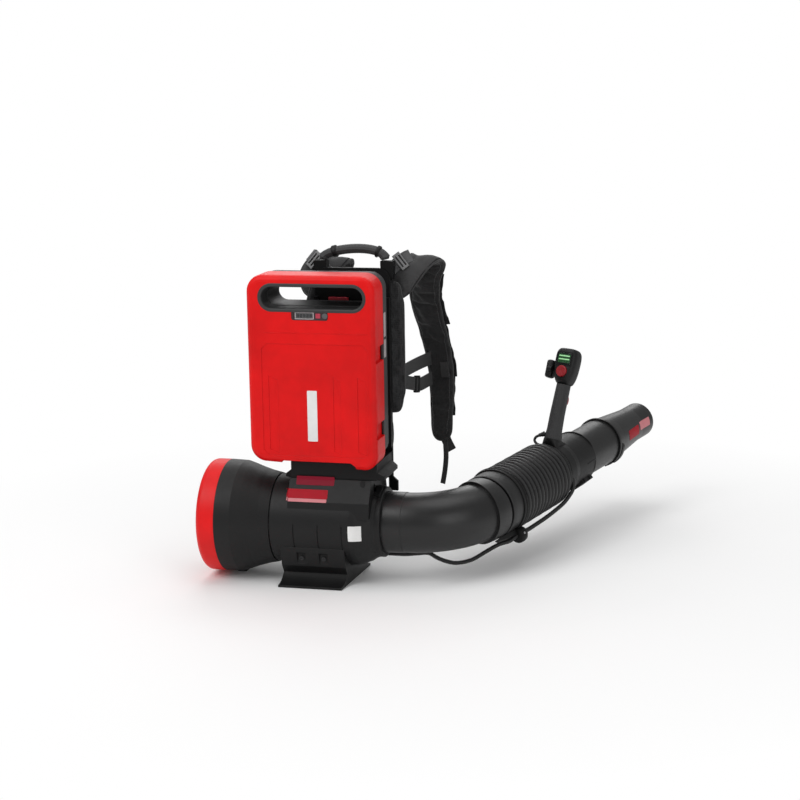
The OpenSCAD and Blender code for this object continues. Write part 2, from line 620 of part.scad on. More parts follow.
// Sunk panel of the front face: its depth, corners and the bands that are sunk once more
relief = 0.8;
relief_cut = 10;
relief_x0 = 27 - pack_half_w;
relief_x1 = pack_half_w - 13;
relief_z0 = pack_z0 + pack_bevel + 2;
relief_z1 = pack_z0 + pack_h * 0.64;
band_z0 = relief_z0 + 4;
band_z1 = pack_z0 + pack_h * 0.47;
bands = [[39 - pack_half_w, 56 - pack_half_w], [pack_half_w - 77, pack_half_w - 64],
  [pack_half_w - 33, pack_half_w - 17]];
module front_relief() {
  upright(-pack_front - 1, 1 + relief) polygon([
    [relief_x0 + relief_cut, relief_z0], [relief_x1 - relief_cut, relief_z0],
    [relief_x1, relief_z0 + relief_cut], [relief_x1, relief_z1 - relief_cut],
    [relief_x1 - relief_cut, relief_z1], [relief_x0 + relief_cut, relief_z1],
    [relief_x0, relief_z1 - relief_cut], [relief_x0, relief_z0 + relief_cut]]);
  for (b = bands) upright(-pack_front - 1, 1 + 2 * relief)
    polygon([[b[0], band_z0 + 6], [b[1], band_z0], [b[1], band_z1 - 8], [b[0], band_z1]]);
}
panel_x = 0;
panel_w = 66;
panel_h = 16;
panel_z = pack_top - slot_drop - 10;
charge_x = 28;
module battery_cover() color([0.82, 0.09, 0.12]) difference() {
  hull() {
    upright(cover_back - 2, 2) pack_outline(0, foot_drop);
    // Rounded edge of the front face
    for (a = [0:22.5:90])
      upright(-pack_front + pack_bevel * (1 - sin(a)), 1) pack_outline(pack_bevel * (1 - cos(a)), foot_drop);
  }
  // Raised middle of the lower edge and the clearance over the dock
  translate([-pack_half_w - 1, -dock_front - 5, pack_z0 - 40]) cube([2 * pack_half_w + 2, 200, 40]);
  upright(-pack_front - 1, cover_depth + 2) polygon([[57 - pack_half_w, pack_z0 - 20],
    [57 - pack_half_w, pack_z0 + 1], [61 - pack_half_w, pack_z0 + 4], [pack_half_w - 48, pack_z0 + 4],
    [pack_half_w - 40, pack_z0 - 2], [pack_half_w - 36, pack_z0 - 20]]);
  front_relief();
  // Hollow for the cells below the slot, drawn in behind the rounded edge
  upright(-pack_front + pack_wall + 1, 7) intersection() {
    pack_outline(pack_bevel + 2);
    translate([-200, pack_z0 + 7]) square([400, pack_h - slot_drop - 14]);
  }
  upright(-pack_front + pack_wall + 7.5, cover_depth) difference() {
    intersection() {
      pack_outline(pack_wall + 1.5);
      translate([-200, pack_z0 + 7]) square([400, pack_h - slot_drop - 14]);
    }
    // Wall left round the grip notches
    for (n = side_notch, s = [-1, 1])
      translate([s * pack_half_w - 9, n[0] - n[1] / 2 - 3]) square([18, n[1] + 6]);
  }
  upright(-pack_front - 1, cover_depth + 2) slot_outline();
  // Hollows of the handle bar over the slot
  upright(-pack_front + pack_wall + 4, cover_depth)
    translate([-slot_half_w + 20, pack_top - slot_drop + slot_h + 4])
      square([2 * slot_half_w - 40, slot_drop - slot_h - 8]);
  // Rounded rim of the slot
  hull() {
    upright(-pack_front - 0.5, 0.5) slot_outline(-3);
    upright(-pack_front + 5, 1) slot_outline(0);
  }
  // Grip notches down both sides
  for (n = side_notch, s = [-1, 1])
    translate([s * pack_half_w - 6, 8 - pack_front, n[0] - n[1] / 2]) cube([12, 60, n[1]]);
  // Pocket over the dock's contacts
  translate([-30, -18, pack_z0 - 1]) cube([60, 30, 14]);
  // Recess of the charge panel
  upright(-pack_front - 1, 1 + 3.2) translate([panel_x, panel_z])
    polygon(round_rect(panel_w / 2 + 0.2, panel_h / 2 + 0.2, 4));
  upright(-pack_front - 1, 10) translate([charge_x, panel_z]) circle(r = 6, $fn = 32);
}
module battery_shell() color([0.25, 0.25, 0.27]) difference() {
  union() {
    hull() {
      upright(cover_back, 2) pack_outline(1.5);
      upright(shell_back - 10, 1) pack_outline(2.5);
      upright(shell_back - 1, 1) pack_outline(9);
    }
    // Liner that reaches into the slot of the cover
    upright(cover_back - 26, 27) slot_outline(0.3);
  }
  upright(cover_back - 1, shell_depth - pack_wall) intersection() {
    pack_outline(pack_wall + 1.5);
    translate([-200, pack_z0 + 4]) square([400, pack_h - slot_drop - 12]);
  }
  upright(cover_back - 30, cover_depth + shell_depth) slot_outline(3.3);
  // Pocket over the dock's contacts
  translate([-30, -18, pack_z0 - 1]) cube([60, 30, 14]);
}
cell_cols = floor((2 * pack_half_w - 17) / cell_pitch);
cell_rows = floor((pack_h - slot_drop - 35) / cell_pitch);
cell_z0 = pack_z0 + 8 + cell_pitch / 2;
cell_y = -pack_front + pack_wall + 8;
function cell_x(i) = (i - (cell_cols - 1) / 2) * cell_pitch;
module battery_cells() color([0.2, 0.42, 0.55])
  for (i = [0:cell_cols - 1], j = [0:cell_rows - 1])
    translate([cell_x(i), cell_y, cell_z0 + 6 + j * cell_pitch]) rotate([-90, 0, 0])
      cylinder(h = cell_len, r = cell_r, $fn = 24);
module cell_trays() color([0.08, 0.08, 0.09])
  for (y = [cell_y + 6, cell_y + cell_len - 10]) upright(y, 4) difference() {
    union() {
      translate([-cell_cols * cell_pitch / 2 - 0.5, cell_z0 + 6 - cell_pitch / 2 - 1])
        square([cell_cols * cell_pitch + 1, cell_rows * cell_pitch + 2]);
      // Feet on the floor of the cover
      for (s = [-1, 1])
        translate([s * (cell_cols * cell_pitch / 2 - 38.5) - 12, pack_z0 + 7 + seat]) square([24, 12]);
    }
    for (i = [0:cell_cols - 1], j = [0:cell_rows - 1])
      translate([cell_x(i), cell_z0 + 6 + j * cell_pitch]) circle(r = cell_r + 0.05, $fn = 24);
  }
board_half = (cell_cols - 1) * cell_pitch / 2;
board_z = cell_z0 + 6 + (cell_rows - 0.5) * cell_pitch + 1 + seat;
module battery_board() color([0.05, 0.3, 0.15]) translate([-board_half, cell_y + 2, board_z]) {
  cube([2 * board_half, cell_len - 10, 1.8]);
  for (k = [0:2]) translate([20 + k * (board_half - 42), 24, 1.8]) cube([24, 16, 4]);
}
module charge_panel() color([0.15, 0.13, 0.14]) difference() {
  upright(-pack_front + 0.4, 2.6) translate([panel_x, panel_z])
    polygon(round_rect(panel_w / 2, panel_h / 2, 3.8));
  upright(-pack_front - 1, 8) translate([charge_x, panel_z]) circle(r = 5 + key_gap, $fn = 32);
  upright(-pack_front - 0.2, 1.4) translate([panel_x - 12, panel_z]) polygon(round_rect(17, 5, 1));
}
module charge_button() color([0.5, 0.5, 0.52])
  upright(-pack_front - 0.6, 3) translate([charge_x, panel_z]) circle(r = 5, $fn = 32);
module battery_screws() color([0.45, 0.45, 0.47])
  for (s = [-1, 1], z = [pack_z0 + 40, pack_top - slot_drop - 12, pack_top - 40])
    translate([s * (pack_half_w - 13), shell_back + 0.05, z]) rotate([-90, 0, 0]) difference() {
      cylinder(h = 2, r = 4, $fn = 32);
      translate([0, 0, 1]) cylinder(h = 3, r = 2, $fn = 6);
    }

// ---------------------------------------------------------------- elbow and hose

elbow_end_cuff = 26;
hose_start = 6;
hose_len = rib_pitch * rib_count;
rib_x0 = hose_start + cuff_len;
rib_x1 = rib_x0 + hose_len;
hose_end = rib_x1 + front_cuff_len;
// Plain tube along z, given by its outer radius and wall
module pipe(h, r, wall) rotate_extrude($fn = 96) translate([r - wall, 0]) square([wall, h]);
// The bend is a little slimmer than the two cuffs it runs into, and ends in a raised band
cuff_step = 0.8;
cuff_lap = 1;
band_r = duct_r + 4;
band_angle = 11;
module bend_part(from, angle, r_in, r_out) translate([elbow_lead, elbow_bend_r, 0]) rotate([0, 0, from - 90])
  rotate_extrude(angle = angle, $fn = 96) translate([elbow_bend_r, 0]) difference() {
    circle(r = r_out, $fn = 72);
    circle(r = r_in, $fn = 72);
  }
module elbow_duct() color([0.14, 0.14, 0.15]) {
  in_elbow() {
    bend_part(0, elbow_bend, duct_r - duct_wall - cuff_step, duct_r - cuff_step);
    bend_part(elbow_bend - band_angle, band_angle - 0.2, duct_r - 2, band_r);
    translate([1 - spigot_len, 0, 0]) rotate([0, 90, 0])
      pipe(spigot_len - 1 + elbow_lead + cuff_lap, duct_r, duct_wall);
  }
  in_tube(-cuff_lap) rotate([0, 90, 0]) pipe(elbow_end_cuff + 10 + cuff_lap, duct_r, duct_wall);
}

// Ribbed hose: plain cuffs, rounded ribs and a smooth bore
hose_in = hose_r - rib_depth - hose_wall;
cuff_r = duct_r + 4.8;
front_cuff_r = tube_r + 8;
function rib_points(k) = let (x = rib_x0 + k * rib_pitch, v = hose_r - rib_depth) [
  [v, x], [v, x + rib_pitch * 0.2], [hose_r - 1.2, x + rib_pitch * 0.36], [hose_r, x + rib_pitch * 0.46],
  [hose_r, x + rib_pitch * 0.7], [hose_r - 1.2, x + rib_pitch * 0.8], [v, x + rib_pitch * 0.96]];
module hose_bellows() color([0.1, 0.1, 0.11])
  in_tube() rotate([0, 90, 0]) rotate_extrude($fn = 72) polygon(concat(
  [[duct_r + 0.15, hose_start], [cuff_r - 1, hose_start], [cuff_r, hose_start + 1.5], [cuff_r, rib_x0 - 1]],
  [for (k = [0:rib_count - 1]) each rib_points(k)],
  [[hose_r - rib_depth, rib_x1], [front_cuff_r, rib_x1 + 1.5], [front_cuff_r, hose_end],
   [tube_r + 0.15, hose_end], [tube_r + 0.15, rib_x1 - 1],
   [hose_in - 2, rib_x1 - 4], [hose_in, rib_x1 - 12], [hose_in, rib_x0 + 6], [duct_r + 0.15, rib_x0 - 8]]));

clamp_w = 12;
clamp_x = rib_x0 - clamp_w - 2;
clamp_r = hose_r + 0.8;
ear_turn = 80;
ear_r = clamp_r + 7;
module hose_clamp() color([0.09, 0.09, 0.1]) {
  tube_turned([[cuff_r + 0.1, clamp_x], [clamp_r - 1.2, clamp_x], [clamp_r, clamp_x + 1.2],
    [clamp_r, clamp_x + clamp_w - 1.2], [clamp_r - 1.2, clamp_x + clamp_w],
    [cuff_r + 0.1, clamp_x + clamp_w]]);
  // Ears of the clamp, under the hose
  in_tube(clamp_x) rotate([ear_turn, 0, 0]) difference() {
    for (s = [-1, 1]) translate([0, -ear_r - 5, s * 5 - 2]) cube([clamp_w, 13, 4]);
    translate([clamp_w / 2, -ear_r, -12]) cylinder(h = 24, r = 2.6, $fn = 32);
  }
}
module clamp_screw() color([0.3, 0.3, 0.32])
  in_tube(clamp_x) rotate([ear_turn, 0, 0]) translate([clamp_w / 2, -ear_r, 0]) {
  translate([0, 0, -7.1]) cylinder(h = 17, r = 2.5, $fn = 32);
  translate([0, 0, 7.1]) cylinder(h = 4, r = 4.6, $fn = 6);
  translate([0, 0, -10.1]) cylinder(h = 3, r = 4.5, $fn = 32);
}
// Bracket on the elbow's band, with the eye that the control cable runs through
eye_x = clamp_x + clamp_w / 2;
eye_r = 9;
eye_reach = clamp_r + eye_r + 0.6;
eye_turn = -38;
arm_w = 10;
// Profile of the arm as [along the hose, distance from its axis]
arm_outline = [[-22, band_r + 0.6], [-2, band_r + 0.3], [2, cuff_r + 0.4], [clamp_x - 2, cuff_r + 0.4],
  [clamp_x - 0.4, clamp_r + 0.4], [eye_x + 5, clamp_r + 0.6], [eye_x + 5, eye_reach - 4],
  [clamp_x - 4, eye_reach - 2], [4, band_r + 9], [-18, band_r + 5]];
module cable_bracket() color([0.1, 0.1, 0.11]) in_tube(0) rotate([eye_turn, 0, 0]) difference() {
  union() {
    translate([0, arm_w / 2, 0]) rotate([90, 0, 0]) linear_extrude(arm_w)
      polygon([for (p = arm_outline) [p[0], -p[1]]]);
    translate([eye_x - 5, 0, -eye_reach]) rotate([0, 90, 0]) cylinder(h = 10, r = eye_r, $fn = 48);
  }
  translate([eye_x - 46, 0, -eye_reach]) rotate([0, 90, 0]) cylinder(h = 66, r = cable_r + 1.6, $fn = 48);
}

// ---------------------------------------------------------------- tubes and nozzle

// Groove between the ring and the sleeve that the control cable wraps through
groove_w = 2 * cable_r + 0.8;
ring_end = hose_end + 1;
sleeve_x = ring_end + groove_w + 0.6;
sleeve_end = sleeve_x + sleeve_len;
mid_end = sleeve_end + mid_len;
nozzle_x = mid_end - 16;
tip_x = mid_end + nozzle_len;
module inner_tube() color([0.16, 0.16, 0.17]) {
  tube_turned([[tube_r - tube_wall, rib_x1], [tube_r, rib_x1], [tube_r, mid_end - 2],
    [tube_r - 0.8, mid_end], [tube_r - tube_wall, mid_end]]);
  // Lug of the nozzle's bayonet
  in_tube(mid_end - 12) rotate([62, 0, 0]) translate([0, -tube_r - 3.2, -7]) cube([9, 4, 14]);
}
ring_r = hose_r - 2.5;
module hose_ring() color([0.09, 0.09, 0.1]) tube_turned([
  [front_cuff_r + 0.1, rib_x1 + 2], [ring_r - 1, rib_x1 + 2], [ring_r, rib_x1 + 3], [ring_r, ring_end - 4],
  [ring_r - 5, ring_end], [tube_r + 0.1, ring_end], [tube_r + 0.1, hose_end + 0.1],
  [front_cuff_r + 0.1, hose_end + 0.1]]);

module handle_sleeve() color([0.13, 0.13, 0.14]) difference() {
  union() {
    tube_turned([[tube_r + tube_fit, sleeve_x], [sleeve_r + 2, sleeve_x], [sleeve_r + 2, sleeve_x + 20],
      [sleeve_r, sleeve_x + 34], [sleeve_r, sleeve_end - 1.5], [sleeve_r - 1.2, sleeve_end],
      [tube_r + tube_fit, sleeve_end]]);
    // Pedestal under the grip
    hull() {
      in_grip() grip_slice(grip_z0 - 1.3, grip_w + 7, grip_d + 7, 1.5);
      in_tube(sleeve_x + 1) translate([0, -17, sleeve_r - 8]) cube([38, 34, 4]);
    }
    // Clamp block low on the outer side
    in_tube(sleeve_x + 52) rotate([50, 0, 0]) translate([0, -sleeve_r - 5, -15]) cube([38, 12, 30]);
  }
  in_tube(sleeve_x - 1) rotate([0, 90, 0]) cylinder(h = sleeve_len + 2, r = tube_r + tube_fit, $fn = 96);
  in_tube(sleeve_x + 51) rotate([50, 0, 0]) translate([0, -sleeve_r - 8, -1]) cube([70, 14, 2]);
}
module sleeve_screws() color([0.45, 0.45, 0.47])
  for (x = [9, 29]) in_tube(sleeve_x + 52 + x) rotate([50, 0, 0]) translate([0, -sleeve_r - 1.2, 15.1])
    difference() {
      cylinder(h = 2.5, r = 3, $fn = 32);
      translate([0, 0, 1.2]) cylinder(h = 3, r = 1.5, $fn = 6);
    }
collar_out = tube_r + 3.6;
module nozzle() color([0.17, 0.17, 0.18]) difference() {
  tube_turned([[tube_r + tube_fit, nozzle_x + 10], [collar_out, nozzle_x + 10], [collar_out, mid_end - 1],
    [tube_r + 0.6, mid_end + 3], [tube_r - 2, mid_end + 24],
    [nozzle_r, tip_x - nozzle_end], [nozzle_r, tip_x],
    [nozzle_r - tube_wall, tip_x], [nozzle_r - tube_wall, tip_x - nozzle_end - 0.5],
    [tube_r - 2 - tube_wall, mid_end + 22], [tube_r - tube_wall, mid_end + 0.6],
    [tube_r + tube_fit, mid_end + 0.3]]);
  // Bayonet window
  in_tube(mid_end - 13) rotate([0, 90, 0]) linear_extrude(11) difference() {
    polygon(concat([[0, 0]], arc(0, 0, tube_r + 8, -46, 6, 5)));
    circle(r = tube_r - 1);
  }
}

// ---------------------------------------------------------------- control handle

grip_x = sleeve_x + 12;
module in_grip() in_tube(grip_x) translate([0, 0, sleeve_r]) rotate([0, grip_lean, 0]) children();
module grip_slice(z, w, d, x = 0)
  translate([x, 0, z]) scale([d / w, 1, 1]) cylinder(h = 1, r = w / 2, $fn = 32);
grip_z0 = 11;
module grip_body(d = 0) {
  hull() {
    grip_slice(grip_z0, grip_w + 5 - d, grip_d + 6 - d, 1);
    grip_slice(grip_z0 + 18, grip_w + 1 - d, grip_d + 1 - d);
  }
  hull() {
    grip_slice(grip_z0 + 18, grip_w + 1 - d, grip_d + 1 - d);
    grip_slice(grip_len * 0.5, grip_w - d, grip_d - d, -1);
  }
  hull() {
    grip_slice(grip_len * 0.5, grip_w - d, grip_d - d, -1);
    grip_slice(grip_len - 1, grip_w - 1 - d, grip_d - 2 - d, 1);
  }
}
trigger_z = grip_len - 14;
trigger_pin_r = 2;
trigger_x = grip_d / 2 - 7;
module grip_half(side) in_grip() difference() {
  intersection() {
    grip_body();
    translate([-50, side > 0 ? 0 : -60, 0]) cube([100, 60, grip_len]);
  }
  // Chamber for the trigger, its spring and the cable
  translate([-5, -5, 5]) cube([10, 10, grip_len]);
  translate([-6, -5, trigger_z - 29]) cube([grip_d, 10, 35]);
  translate([trigger_x, -10, trigger_z]) rotate([-90, 0, 0])
    cylinder(h = 20, r = trigger_pin_r + 0.06, $fn = 32);
}
module grip_left() color([0.12, 0.12, 0.13]) grip_half(1);
module grip_right() color([0.12, 0.12, 0.13]) grip_half(-1);
module trigger() color([0.5, 0.06, 0.09]) in_grip() translate([trigger_x, 0, trigger_z]) {
  rotate([90, 0, 0]) translate([0, 0, -4.6]) linear_extrude(9.2)
    polygon(concat([[-3, 3], [3, 4]], arc(3, -14, 12, 30, -28, 6), [[6, -26], [2, -24], [-2, -6]]));
  translate([0, -9.5, 0]) rotate([-90, 0, 0]) cylinder(h = 19, r = trigger_pin_r, $fn = 32);
}
// Return spring behind the trigger
spring_turns = 4;
module trigger_spring() color([0.6, 0.6, 0.62]) in_grip() translate([-5.4, 0, trigger_z - 18]) {
  path = [for (i = [0:spring_turns * 8]) [2.6 * cos(45 * i), 2.6 * sin(45 * i), i * 0.49]];
  rotate([0, 90, 0]) cable(path, 0.5, 6);
}

head_z = grip_len;
module control_head() color([0.12, 0.12, 0.13]) in_grip() difference() {
  hull() {
    translate([-head_d * 0.35, 0, head_z + 1]) head_slab(1, head_w * 0.62, head_d * 0.7);
    translate([-head_d * 0.5, 0, head_z + 22]) head_slab(1, head_w * 0.86, head_d);
    translate([-head_d * 0.5, 0, head_z + head_h - 14]) head_slab(1, head_w, head_d);
    translate([-head_d * 0.42, 0, head_z + head_h - 1]) head_slab(1, head_w * 0.8, head_d * 0.78);
  }
  // Chamber, display recess and button bore
  translate([-head_d / 2 + 6, -head_w / 2 + 8, head_z + 10]) cube([head_d - 12, head_w - 16, head_h - 20]);
  translate([-head_d / 2 - 1, -15, head_z + head_h - 33]) cube([3, 30, 23]);
  translate([-head_d / 2 - 1, 0, button_z]) rotate([0, 90, 0])
    cylinder(h = 10, r = button_r + key_gap, $fn = 48);
  translate([lever_x, 0, lever_z]) rotate([-90, 0, 0]) cylinder(h = head_w, r = 2.56, $fn = 32);
}
module head_slab(h, w, d) translate([0, -w / 2, 0]) linear_extrude(h) translate([d / 2, w / 2])
  polygon(round_rect(d / 2, w / 2, 7, 4));
button_z = head_z + 24;
lever_z = head_z + 30;
lever_x = 2;
module head_display() color([0.2, 0.55, 0.3]) in_grip()
  translate([-head_d / 2 + 0.2, -14.8, head_z + head_h - 32.8]) cube([1.6, 29.6, 22.6]);
module head_board() color([0.05, 0.3, 0.15]) in_grip()
  translate([-head_d / 2 + 11, -head_w / 2 + 8.3, head_z + 12]) cube([1.6, head_w - 16.6, head_h - 24]);
module power_button() color([0.85, 0.1, 0.13])
  in_grip() translate([-head_d / 2 - 2.2, 0, button_z]) rotate([0, 90, 0]) rotate_extrude($fn = 48)
    polygon(concat([[0, 0.3]], arc(button_r - 2, 2, 2, 270, 360, 4), [[button_r, 7], [0, 7]]));
module cruise_lever() color([0.11, 0.11, 0.12]) in_grip() translate([lever_x, head_w / 2, lever_z]) {
  translate([0, -10, 0]) rotate([-90, 0, 0]) cylinder(h = 14, r = 2.5, $fn = 32);
  translate([0, -1.4, 0]) rotate([-90, 0, 0]) cylinder(h = 4, r = 5, $fn = 32);
  hull() {
    translate([0, key_gap, 0]) rotate([-90, 0, 0]) cylinder(h = 7, r = 9, $fn = 32);
    translate([-16, key_gap, -4]) rotate([-90, 0, 0]) cylinder(h = 9, r = 6, $fn = 32);
  }
}

// ---------------------------------------------------------------- cables

// Cable from the housing's boss, hidden behind the elbow, then sagging to the bracket's eye
cable_a = [[108, 24, 40], [124, 24, 40], [146, 22, 41], [168, 20, 44], [188, 22, 45], [202, 27, 36],
  [219, 33, 28], [237, 41, 24], [261, 53, 28], [286, 71, 41], [305, 86, 50], [320.7, 97.2, 53.2],
  [328.2, 104.7, 57.5], [333.0, 112.2, 60.3], [336.2, 120.2, 61.3]];
// Cable beside the hose, from the eye to the ring
cable_b = [[336.5, 121.1, 61.4], [342, 132, 63], [350, 151, 65], [358, 170, 68], [372, 201, 74],
  [386, 231, 82], [397, 253, 90], [405, 267, 100], [411, 275, 111], [412, 280, 123], [410, 282, 134]];
// Thinner lead in the groove beside the sleeve, over the top and into the foot of the grip
lead_r = 2.6;
lead_x = sleeve_x - lead_r - seat;
lead_turn_r = tube_r + lead_r + 1.2;
cable_c = concat(
  [for (a = [4:12:100]) [lead_x, -lead_turn_r * cos(a), lead_turn_r * sin(a)]],
  [[lead_x - 1, 17, 52], [lead_x, 25, 54], [lead_x + 2, 30, 59], [lead_x + 5, 28, 65],
   [lead_x + 9, 20.9, 68.9]]);
// Fan axis height that the cables' points are given for
cable_axis = 106;
module beside_fan() translate([0, 0, axis_z - cable_axis]) children();
module cable_elbow() color([0.06, 0.06, 0.07]) beside_fan() cable(smooth(cable_a, 3));
module cable_hose() color([0.06, 0.06, 0.07]) beside_fan() cable(smooth(cable_b, 3));
module cable_grip() color([0.06, 0.06, 0.07]) in_tube() cable(smooth(cable_c, 2), lead_r);

// ---------------------------------------------------------------- harness

// Height share of the back pad's channels
pad_z0 = dock_top + 67;
pad_z1 = frame_top - 24;
pad_y = frame_back + seat + pad_t / 2;
module back_pad() color([0.16, 0.16, 0.17]) {
  n = 22;
  path = [for (i = [0:n]) [harness_x, pad_y, pad_z0 + (pad_z1 - pad_z0) * i / n]];
  outlines = [for (i = [0:n]) let (q = i / n, e = min(1, 0.35 + 4.2 * min(q, 1 - q)),
      channel = (i % 5 == 3) ? 0.72 : 1)
    [for (p = cushion(pad_half_w * (0.86 + 0.14 * e), pad_t / 2 * e * channel))
      [p[0], p[1] < 0 ? max(p[1], -pad_t / 2) : p[1]]]];
  sweep(path, [for (p = path) [1, 0, 0]], outlines);
}
module lumbar_pad() color([0.14, 0.14, 0.15]) {
  n = 12;
  path = [for (i = [0:n]) [harness_x, frame_back + seat + 16, pad_z0 - 68 + 60 * i / n]];
  outlines = [for (i = [0:n]) let (q = i / n, e = min(1, 0.4 + 2.6 * min(q, 1 - q)))
    cushion((frame_half_w - 4) * (0.92 + 0.08 * e), 16 * e)];
  sweep(path, [for (p = path) [1, 0, 0]], outlines);
}
// Shoulder strap pads, from the back pad over the shoulder and down
strap_path = [[117, 96.7, 497], [121, 99.6, 515], [131, 105, 535], [145, 114, 554], [160, 127, 565],
  [164, 141, 562], [160, 154, 546], [157, 168, 520], [157, 184, 486], [162, 196, 444], [169, 202, 405],
  [176, 202, 364], [181, 198, 322], [183, 190, 285], [184, 182, 248], [187, 176, 222]];
strap_path_left = [[-34, 96.7, 497], [-40, 99.6, 515], [-40, 106, 535], [-28, 117, 551], [-14, 132, 559],
  [-12, 146, 556], [-20, 162, 542], [-34, 176, 518], [-46, 189, 486], [-60, 197, 444], [-74, 202, 405],
  [-90, 202, 364], [-95, 198, 322], [-97, 190, 285], [-98, 182, 248], [-101, 176, 222]];
module strap_pad(points, lean) {
  path = smooth(points, 2);
  n = len(path) - 1;
  outlines = [for (i = [0:n])
    let (q = i / n, e = min(1, 0.45 + 9 * min(q, 1 - q)), channel = (i % 4 == 2) ? 0.8 : 1)
    cushion(strap_half_w * (1.3 - 0.5 * q) * e * min(1, 0.5 + 1.67 * q), strap_t / 2 * e * channel, 12)];
  sweep(path, [for (i = [0:n]) let (k = min(1, 3.4 * i / n)) [1 - k, 0, 0] + k * lean], outlines);
}
// Height of the frame's top that the straps' points are given for
strap_frame_top = 556;
module on_harness() translate([0, 0, frame_top - strap_frame_top]) children();
module strap_right() color([0.15, 0.15, 0.16]) on_harness() strap_pad(strap_path, [0.94, -0.34, 0]);
module strap_left() color([0.15, 0.15, 0.16]) on_harness() strap_pad(strap_path_left, [0.94, 0.34, 0]);
// Flat webbing along a path
module webbing(p, side, w = web_w) {
  path = smooth(p, 2);
  o = [[w / 2, -web_t / 2], [w / 2, web_t / 2], [-w / 2, web_t / 2], [-w / 2, -web_t / 2]];
  sweep(path, [for (q = path) side], [for (q = path) o]);
}
web_anchor = [[95, 94.4, 541.7], [110, 101.2, 553.5], [125.6, 108, 565.6], [132, 111, 570.4],
  [139.3, 117.2, 574]];
web_anchor_left = [[-9, 94.4, 541.7], [-24, 101.2, 553.5], [-39.6, 108, 565.6], [-46, 111, 570.4],
  [-50, 120, 572.3], [-47.3, 129.8, 570.4]];
web_across = [0.637, -0.09, -0.765];
web_side = [[122, 93.1, 360], [132, 132, 364], [142, 166, 368], [154.3, 202.2, 371.1]];
web_low = [[123, 95.6, 343], [137, 126, 330], [148, 158, 326], [157, 198.6, 331]];
web_tail = [[187.1, 175.8, 221.4], [187.6, 173.2, 212], [189, 170, 190], [187, 168, 165], [183, 166, 140]];
module web_set() {
  webbing(web_side, [0, 0.1, 1]);
  webbing(web_low, [0, 0.1, 1]);
  webbing(web_tail, [1, -0.3, 0], web_w - 6);
}
module strap_webbing() color([0.1, 0.1, 0.11]) on_harness() {
  webbing(web_anchor, web_across, web_w + 8);
  webbing(web_anchor_left, [-web_across[0], web_across[1], web_across[2]], web_w + 8);
  web_set();
  translate([2 * harness_x, 0, 0]) mirror([1, 0, 0]) web_set();
}
// Ladder-lock buckles on the front of the load webbing: along it, across it and away from it
buckle_at = [123.3, 107, 563.8];
buckle_t = unit(web_anchor[2] - web_anchor[0]);
buckle_w = unit(web_across - (web_across * buckle_t) * buckle_t);
buckle_n = cross(buckle_w, buckle_t);
buckle_frame = [for (i = [0:2]) [buckle_t[i], buckle_w[i], buckle_n[i], buckle_at[i]]];
module buckle() multmatrix(buckle_frame) difference() {
  translate([-8, -web_w / 2 - 8, web_t / 2 + seat]) cube([15, web_w + 16, 5.5]);
  for (x = [-5, 1.5]) translate([x, -web_w / 2 - 4, 0]) cube([3, web_w + 8, 12]);
}
module strap_buckles() color([0.2, 0.2, 0.21]) on_harness() {
  buckle();
  translate([2 * harness_x, 0, 0]) mirror([1, 0, 0]) buckle();
}

base_foot();
fan_housing();
housing_screws();
intake_bell();
intake_ring();
intake_guard();
motor_pod();
motor_stator();
motor_bearings();
tail_cone();
impeller();
motor_shaft();
motor_rotor();
dock_block();
dock_contacts();
controller_board();
back_frame();
frame_screws();
carry_grip();
carry_roots();
back_pad();
lumbar_pad();
strap_right();
strap_left();
strap_webbing();
strap_buckles();
battery_latch();
battery_cover();
battery_shell();
battery_cells();
cell_trays();
battery_board();
charge_panel();
battery_screws();
charge_button();
elbow_duct();
cable_bracket();
hose_clamp();
clamp_screw();
hose_bellows();
inner_tube();
hose_ring();
handle_sleeve();
sleeve_screws();
nozzle();
grip_left();
grip_right();
control_head();
head_display();
head_board();
power_button();
trigger();
trigger_spring();
cruise_lever();
cable_elbow();
cable_hose();
cable_grip();
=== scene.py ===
"""Looks of a backpack leaf blower: camera, light, finishes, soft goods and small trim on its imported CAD."""

from math import copysign, cos, exp, pi, radians, sin, sqrt

import bmesh
import bpy
import numpy as np
from mathutils import Matrix, Vector
from mathutils.bvhtree import BVHTree
from mathutils.kdtree import KDTree


